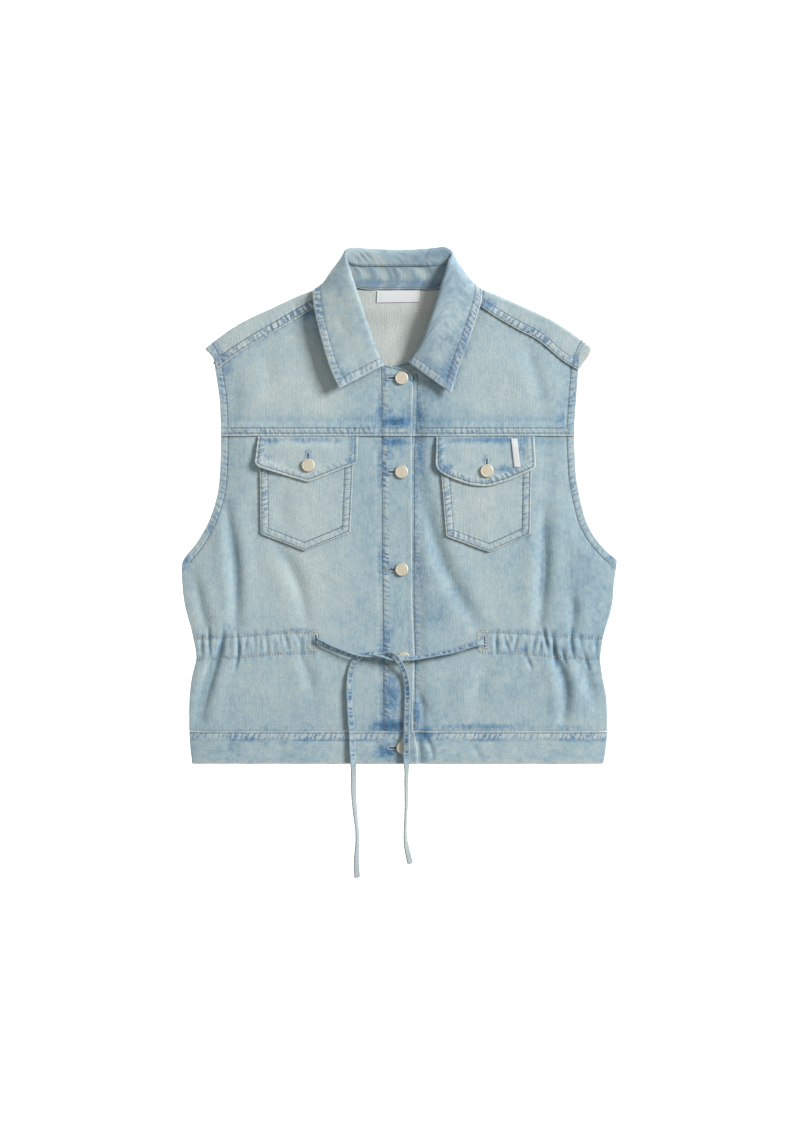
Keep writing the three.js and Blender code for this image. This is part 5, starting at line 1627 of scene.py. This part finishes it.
def make_button(node):
    low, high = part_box(node)
    centre = np.array([(low[0] + high[0]) / 2, (low[1] + high[1]) / 2, low[2]]) / MM
    profile = smooth_line(BUTTON_PROFILE, 44)
    angles = 2 * math.pi * np.arange(AROUND) / AROUND
    points = [centre + (r * math.cos(a), r * math.sin(a), h) for r, h in profile[1:-1] for a in angles]
    points += [centre + (0, 0, profile[0][1]), centre + (0, 0, profile[-1][1])]
    rings = len(profile) - 2
    faces = tube_faces(rings, AROUND)
    last = (rings - 1) * AROUND
    bottom = rings * AROUND
    for k in range(AROUND):
        faces.append((bottom, (k + 1) % AROUND, k))
        faces.append((bottom + 1, last + k, last + (k + 1) % AROUND))
    stands_for(new_piece(node + "_cap", points, faces, brass), "button_metal", node)


BUTTON_NODES = [f"button_{k}" for k in range(1, 6)] + ["button_left_flap", "button_right_flap"]
for node in BUTTON_NODES:
    make_button(node)
print(len(BUTTON_NODES), "buttons")

# %% [markdown]
# ## Stitches
#
# About three thousand stitches hold the vest. Each is a short bead of thread lying along a seam row: the
# seams' beads are 2 mm long and 0.75 mm thick, one every 3 mm, and the casing's sand thread is thicker.
# Geometry Nodes place them: a curve runs along each row, the tree spaces points on it and puts a bead on
# each, turned along the curve. The same tree with its beads turned by a right angle makes buttonholes,
# whose thread crosses the slit's edge.

# %% The stitching tree
def stitching_tree():
    tree = bpy.data.node_groups.new("stitching", "GeometryNodeTree")
    face = tree.interface
    face.new_socket("Geometry", in_out="INPUT", socket_type="NodeSocketGeometry")
    for name, value in (("Pitch", 0.003), ("Length", 0.002), ("Thread", 0.00075), ("Turn", 0.0)):
        socket = face.new_socket(name, in_out="INPUT", socket_type="NodeSocketFloat")
        socket.default_value = value
    face.new_socket("Material", in_out="INPUT", socket_type="NodeSocketMaterial")
    face.new_socket("Geometry", in_out="OUTPUT", socket_type="NodeSocketGeometry")
    given = add_node(tree, "NodeGroupInput").outputs
    thread = given["Thread"]
    along_row = {"Curve": given["Geometry"], "Length": given["Pitch"]}
    spots = add_node(tree, "GeometryNodeCurveToPoints", along_row, mode="LENGTH").outputs
    bead = add_node(tree, "GeometryNodeMeshUVSphere", {"Segments": 6, "Rings": 5, "Radius": 0.5}).outputs[0]
    size = add_node(tree, "ShaderNodeCombineXYZ", {"X": given["Length"], "Y": thread, "Z": thread}).outputs[0]
    bead = add_node(tree, "GeometryNodeTransform", {"Geometry": bead, "Scale": size}).outputs[0]
    along = add_node(tree, "FunctionNodeAlignRotationToVector", {"Vector": spots["Tangent"]}, axis="X")
    spin = add_node(tree, "ShaderNodeCombineXYZ", {"X": 0.0, "Y": 0.0, "Z": given["Turn"]}).outputs[0]
    spin = add_node(tree, "FunctionNodeEulerToRotation", {0: spin}).outputs[0]
    aim = add_node(tree, "FunctionNodeRotateRotation", {"Rotation": along.outputs[0], "Rotate By": spin},
                   rotation_space="LOCAL").outputs[0]
    placed = {"Points": spots["Points"], "Instance": bead, "Rotation": aim}
    placed = add_node(tree, "GeometryNodeInstanceOnPoints", placed).outputs[0]
    real = add_node(tree, "GeometryNodeRealizeInstances", {0: placed}).outputs[0]
    done = add_node(tree, "GeometryNodeSetMaterial", {"Geometry": real, "Material": given["Material"]})
    add_node(tree, "NodeGroupOutput", {0: done.outputs[0]})
    return tree


STITCHING = stitching_tree()


def sew(name, rows, material, pitch, length, thread, turn=0.0):
    """Stitches along rows of points in millimetres, as one plain mesh."""
    curve = bpy.data.curves.new(name + "_rows", "CURVE")
    curve.dimensions = "3D"
    for row in rows:
        row = np.asarray(row, float) * MM
        spline = curve.splines.new("POLY")
        spline.points.add(len(row) - 1)
        spline.points.foreach_set("co", np.column_stack([row, np.ones(len(row))]).reshape(-1))
    rig = bpy.data.objects.new(name + "_rows", curve)
    bpy.context.scene.collection.objects.link(rig)
    modifier = rig.modifiers.new("stitching", "NODES")
    modifier.node_group = STITCHING
    values = {"Pitch": pitch * MM, "Length": length * MM, "Thread": thread * MM, "Turn": turn,
              "Material": material}
    for item in STITCHING.interface.items_tree:
        if item.in_out == "INPUT" and item.name in values:
            modifier[item.identifier] = values[item.name]
    evaluated = rig.evaluated_get(bpy.context.evaluated_depsgraph_get())
    mesh = bpy.data.meshes.new_from_object(evaluated)
    mesh.name = name
    mesh.shade_smooth()
    rig.modifiers.remove(modifier)
    bpy.data.objects.remove(rig)
    piece = bpy.data.objects.new(name, mesh)
    bpy.context.scene.collection.objects.link(piece)
    if not mesh.materials:
        mesh.materials.append(material)
    print(name, ":", len(mesh.polygons), "faces")
    return piece


# %% [markdown]
# The rows themselves are found on the finished pieces, so that a stitch never floats or sinks: a flat row
# takes its height from its panel, and a row on the collar is read off the collar's own grid.

# %% Rows on the panels
STITCH_LIFT = 0.12
# The casing's rows lie on gathers, so they need closer points and a little more height
ON_GATHERS = dict(lift=0.2, step=0.8)
# x of the stitched box that holds each end of the casing round the string's exit
EXIT_X = {"left": -98.5, "right": 94.2}


def inset(points, distance, side):
    """A line moved sideways by a distance, to its left (1) or right (-1)."""
    p = np.asarray(points, float)
    t = np.gradient(p, axis=0)
    t /= np.linalg.norm(t, axis=1, keepdims=True)
    n = np.column_stack([-t[:, 1], t[:, 0]]) * side
    return p + n * distance


def on_surface(points, top, lift=STITCH_LIFT, step=1.1):
    points = np.asarray(points, float)
    p = even(points, max(3, int(lengths_along(points)[-1] / step)))
    return np.column_stack([p, top(p[:, 0], p[:, 1]) + lift])


def racetrack(cx, cy, long, wide, upright):
    a = np.linspace(0, 2 * np.pi, 64)
    straight = max(0.0, long / 2 - wide / 2)
    u = np.cos(a) * wide / 2 + np.sign(np.cos(a)) * straight
    v = np.sin(a) * wide / 2
    x, y = (v, u) if upright else (u, v)
    return np.column_stack([cx + x, cy + y])


def with_marks(top, lines):
    return lambda x, y: top(x, y) + marks(x, y, lines)["height"]


def edge_x(y, side):
    return float(side_at(np.array(y), side))


lower_face = for_both(lambda side: with_marks(TOP[side], lower_lines(side)))
upper_face = for_both(lambda side: with_marks(upper_top(side), upper_lines(side)))
seam_rows = []
sand_rows = []
hem_rows = []


def rows_both_sides_of_yoke(row, side, high=math.inf):
    """A row that runs on from the lower front to the upper one, as far as a height."""
    seam_rows.append(on_surface(row[row[:, 1] < YOKE_Y - 1], lower_face[side]))
    seam_rows.append(on_surface(row[(row[:, 1] > YOKE_Y + 1) & (row[:, 1] < high)], upper_face[side]))


for side, outward, begin, facing in (("left", -1, 13.0, FACING_ROW), ("right", 1, 17.5, UNDER_ROW)):
    rows_both_sides_of_yoke(inset(side_line(side, *ARMHOLE, 4.0), ARMHOLE_ROW, outward), side, high=160)
    for distance in YOKE_ROWS:
        y = YOKE_Y + distance
        seam_rows.append(on_surface([(begin, y), (edge_x(y, side) * 0.995, y)], upper_face[side]))
    rows_both_sides_of_yoke(even(np.array(facing), 200), side)
    for up in (CASING_HALF, -CASING_HALF):
        xs = np.linspace(GATHER_START[side] - 1.5 * outward, edge_x(CASING_Y, side) * 0.997, 150)
        ys = CASING_Y - casing_droop(xs) + up
        sand_rows.append(on_surface(np.column_stack([xs, ys]), lower_face[side], **ON_GATHERS))
    for rows, long, wide in ((seam_rows, 26, 12), (sand_rows, 22, 8)):
        box = racetrack(EXIT_X[side], CASING_Y + 2.0, long, wide, True)
        rows.append(on_surface(box, lower_face[side], **ON_GATHERS))
print(len(seam_rows), "seam rows and", len(sand_rows), "casing rows so far")

# %% Rows on the hem band, shoulders, pockets and flaps
def band_face(side):
    return with_marks(lambda x, y: band_height(x, y) + BAND_RAISE[side](x), band_lines)


for y, rows in ((BAND_TOP_Y - BAND_ROW, seam_rows), (HEM_Y + 1.4, hem_rows)):
    rows.append(on_surface([(16.0, y), (edge_x(y, "left") + 3, y)], band_face("left")))
    rows.append(on_surface([(24, y), (edge_x(y, "right") - 3, y)], band_face("right")))

# On a shoulder, two rows along the lap and one across the end, on top of the wall
ON_STRIP = (CLOTH / 2 + STITCH_LIFT) * UP
for piece, sections in strips.values():
    for row in (sections[2:, -5], sections[2:, -12], sections[6, 9:]):
        seam_rows.append(row + ON_STRIP)

for side in BOTH:
    face = with_marks(pocket_face(side), [POCKET_EDGE[side]])
    outline = even(outline_of(POCKETS[side]), 260)
    for distance in POCKET_ROWS:
        row = inset(outline, distance, 1)
        seam_rows.append(on_surface(row[row[:, 1] < 58], face))
    row = inset(even(outline_of(FLAPS[side]), 260), FLAP_ROW, 1)
    seam_rows.append(on_surface(row[row[:, 1] < 77], flap_face(side)))
print(len(seam_rows), "seam rows")

# %% Rows on the collar
def grid_row(grid, normals, distance, thickness, trim):
    """A row on a lofted piece at a distance from the last column of its grid, without its ends."""
    row = []
    for line, n in zip(grid[:, ::-1], normals[:, ::-1]):
        s = lengths_along(line)
        if s[-1] < distance * 1.5:
            continue
        both = np.hstack([line, n])
        at = np.array([np.interp(distance, s, both[:, k]) for k in range(6)])
        row.append(at[:3] + at[3:] * (thickness / 2 + STITCH_LIFT))
    return np.array(row)[trim]


def lying_high(row, least=6.0):
    """The parts of a row that stay above a height: its ends, where its middle runs under the vest."""
    high = np.flatnonzero(row[:, 2] > least)
    return [row[part] for part in np.split(high, np.flatnonzero(np.diff(high) > 1) + 1) if len(part) > 4]


def turned(grid):
    """The grid with its rows and columns exchanged, so that its last row is the last column."""
    return np.swapaxes(grid, 0, 1)


seam_rows += lying_high(grid_row(collar_grid, collar_normals, COLLAR_ROW, COLLAR_THICK, slice(9, -9)))
for way in (-1, 1):
    ends = [turned(grid[::way]) for grid in (collar_grid, collar_normals)]
    seam_rows.append(grid_row(*ends, COLLAR_ROW, COLLAR_THICK, slice(10, -9)))
seam_rows.append(grid_row(collar_grid[:, ::-1], collar_normals[:, ::-1], 1.8, COLLAR_THICK, slice(60, -60)))
seam_rows.append(grid_row(stand_grid[:, ::-1], stand_normals[:, ::-1], STAND_ROW, CLOTH, slice(4, -4)))
threads = [
    sew("seam_stitches", seam_rows, thread_grey, pitch=3.0, length=2.0, thread=0.75),
    sew("casing_stitches", sand_rows, thread_sand, pitch=3.4, length=2.3, thread=1.1),
    sew("hem_stitches", hem_rows, thread_sand, pitch=3.2, length=2.0, thread=1.0),
]

# %% [markdown]
# ## Buttonholes and exits
#
# A buttonhole is a slit worked round with close thread. On the front they lie across, and on the flaps
# they stand upright. The string comes out of the casing through two upright slits of the same kind.

# %% Worked slits
# centre x, centre y, length, upright, the face that it is worked on
HOLES = [
    (-3.0, 146.0, 23, False, upper_face["left"]), (-3.0, 38.4, 23, False, lower_face["left"]),
    (-2.6, -73.6, 23, False, lower_face["left"]), (-0.4, -175.6, 23, False, lower_face["left"]),
    (-2.0, -278.1, 23, False, band_face("left")), (-104.7, 50.0, 22, True, flap_face("left")),
    (100.0, 43.4, 22, True, flap_face("right")), (-96.2, -154.0, 13, True, TOP["left"]),
    (97.6, -156.5, 14, True, TOP["right"]),
]
worked_rows = [on_surface(racetrack(cx, cy, long, 3.6, upright), face, lift=0.25, step=0.45)
               for cx, cy, long, upright, face in HOLES]
slit_rows = [on_surface(racetrack(cx, cy, long - 2.4, 0.6, upright), face, step=0.5)
             for cx, cy, long, upright, face in HOLES]
threads += [
    sew("buttonhole_thread", worked_rows, thread_pale, pitch=0.8, length=2.0, thread=0.6, turn=math.pi / 2),
    sew("buttonhole_slits", slit_rows, thread_blue, pitch=0.8, length=1.4, thread=1.0),
]

# %% [markdown]
# ## Telling the frame what each piece is
#
# Every piece rides on the part's one body and stands for its CAD node.

# %% Riding on the body, in place of the CAD nodes
def cloth_sheet(piece, node, slot_name):
    stands_for(piece, slot_name, node)


for side in BOTH:
    cloth_sheet(lower_fronts[side], "lower_front_" + side, "denim_front")
for side in BOTH:
    cloth_sheet(upper_fronts[side], "upper_front_" + side, "denim_front")
cloth_sheet(back, "back", "denim_back")
cloth_sheet(band, "hem_band", "denim_trim")
cloth_sheet(collar, "collar", "denim_trim")
cloth_sheet(stand, "collar_stand", "denim_trim")
for side in BOTH:
    node = "pocket_" + side
    cloth_sheet(pockets[side], node, "denim_front")
    cloth_sheet(flaps[side], "flap_" + side, "denim_trim")
cloth_sheet(neck_label, "neck_label", "woven_label")
cloth_sheet(flap_label, "flap_label", "woven_label")
for thread in threads:
    stands_for(thread, "denim_front")

# %% [markdown]
# ## Table and light
#
# The photograph has a plain white ground and soft light from the upper right. A wide lamp stands there, a
# second one fills from the left, and the white surroundings do the rest. The table makes nearly all of its
# white itself, so that no shadow lies on it, as in the photograph.

# %% Table, lamps and surroundings
TABLE_HALF = 6000
TABLE_Z = -0.5
laminate, tree = new_material("white_laminate")
finish(tree, {"Base Color": colour("#f4f4f4"), "Roughness": 0.9, "Emission Color": (1, 1, 1, 1),
              "Emission Strength": 0.95})
corners = [(TABLE_HALF * a, TABLE_HALF * b, TABLE_Z) for a, b in ((-1, -1), (1, -1), (1, 1), (-1, 1))]
new_piece("table", corners, [(0, 1, 2, 3)], laminate)


def lamp(name, place, size, power):
    """A square lamp that points at the middle of the vest."""
    data = bpy.data.lights.new(name, "AREA")
    data.size = size
    data.energy = power
    made = bpy.data.objects.new(name, data)
    made.location = place
    made.rotation_euler = (-Vector(place)).to_track_quat("-Z", "Y").to_euler()
    bpy.context.scene.collection.objects.link(made)


lamp("key", (5.4, 2.6, 3.7), 2.1, 640)
lamp("fill", (-2.2, 1.2, 2.6), 2.4, 13)
world = bpy.data.worlds.new("white_room")
bpy.context.scene.world = world
world.use_nodes = True
background = world.node_tree.nodes["Background"].inputs
background["Color"].default_value = (0.965, 1.0, 0.955, 1)
background["Strength"].default_value = 0.29
bpy.context.scene.view_settings.view_transform = "Standard"
print("lit")
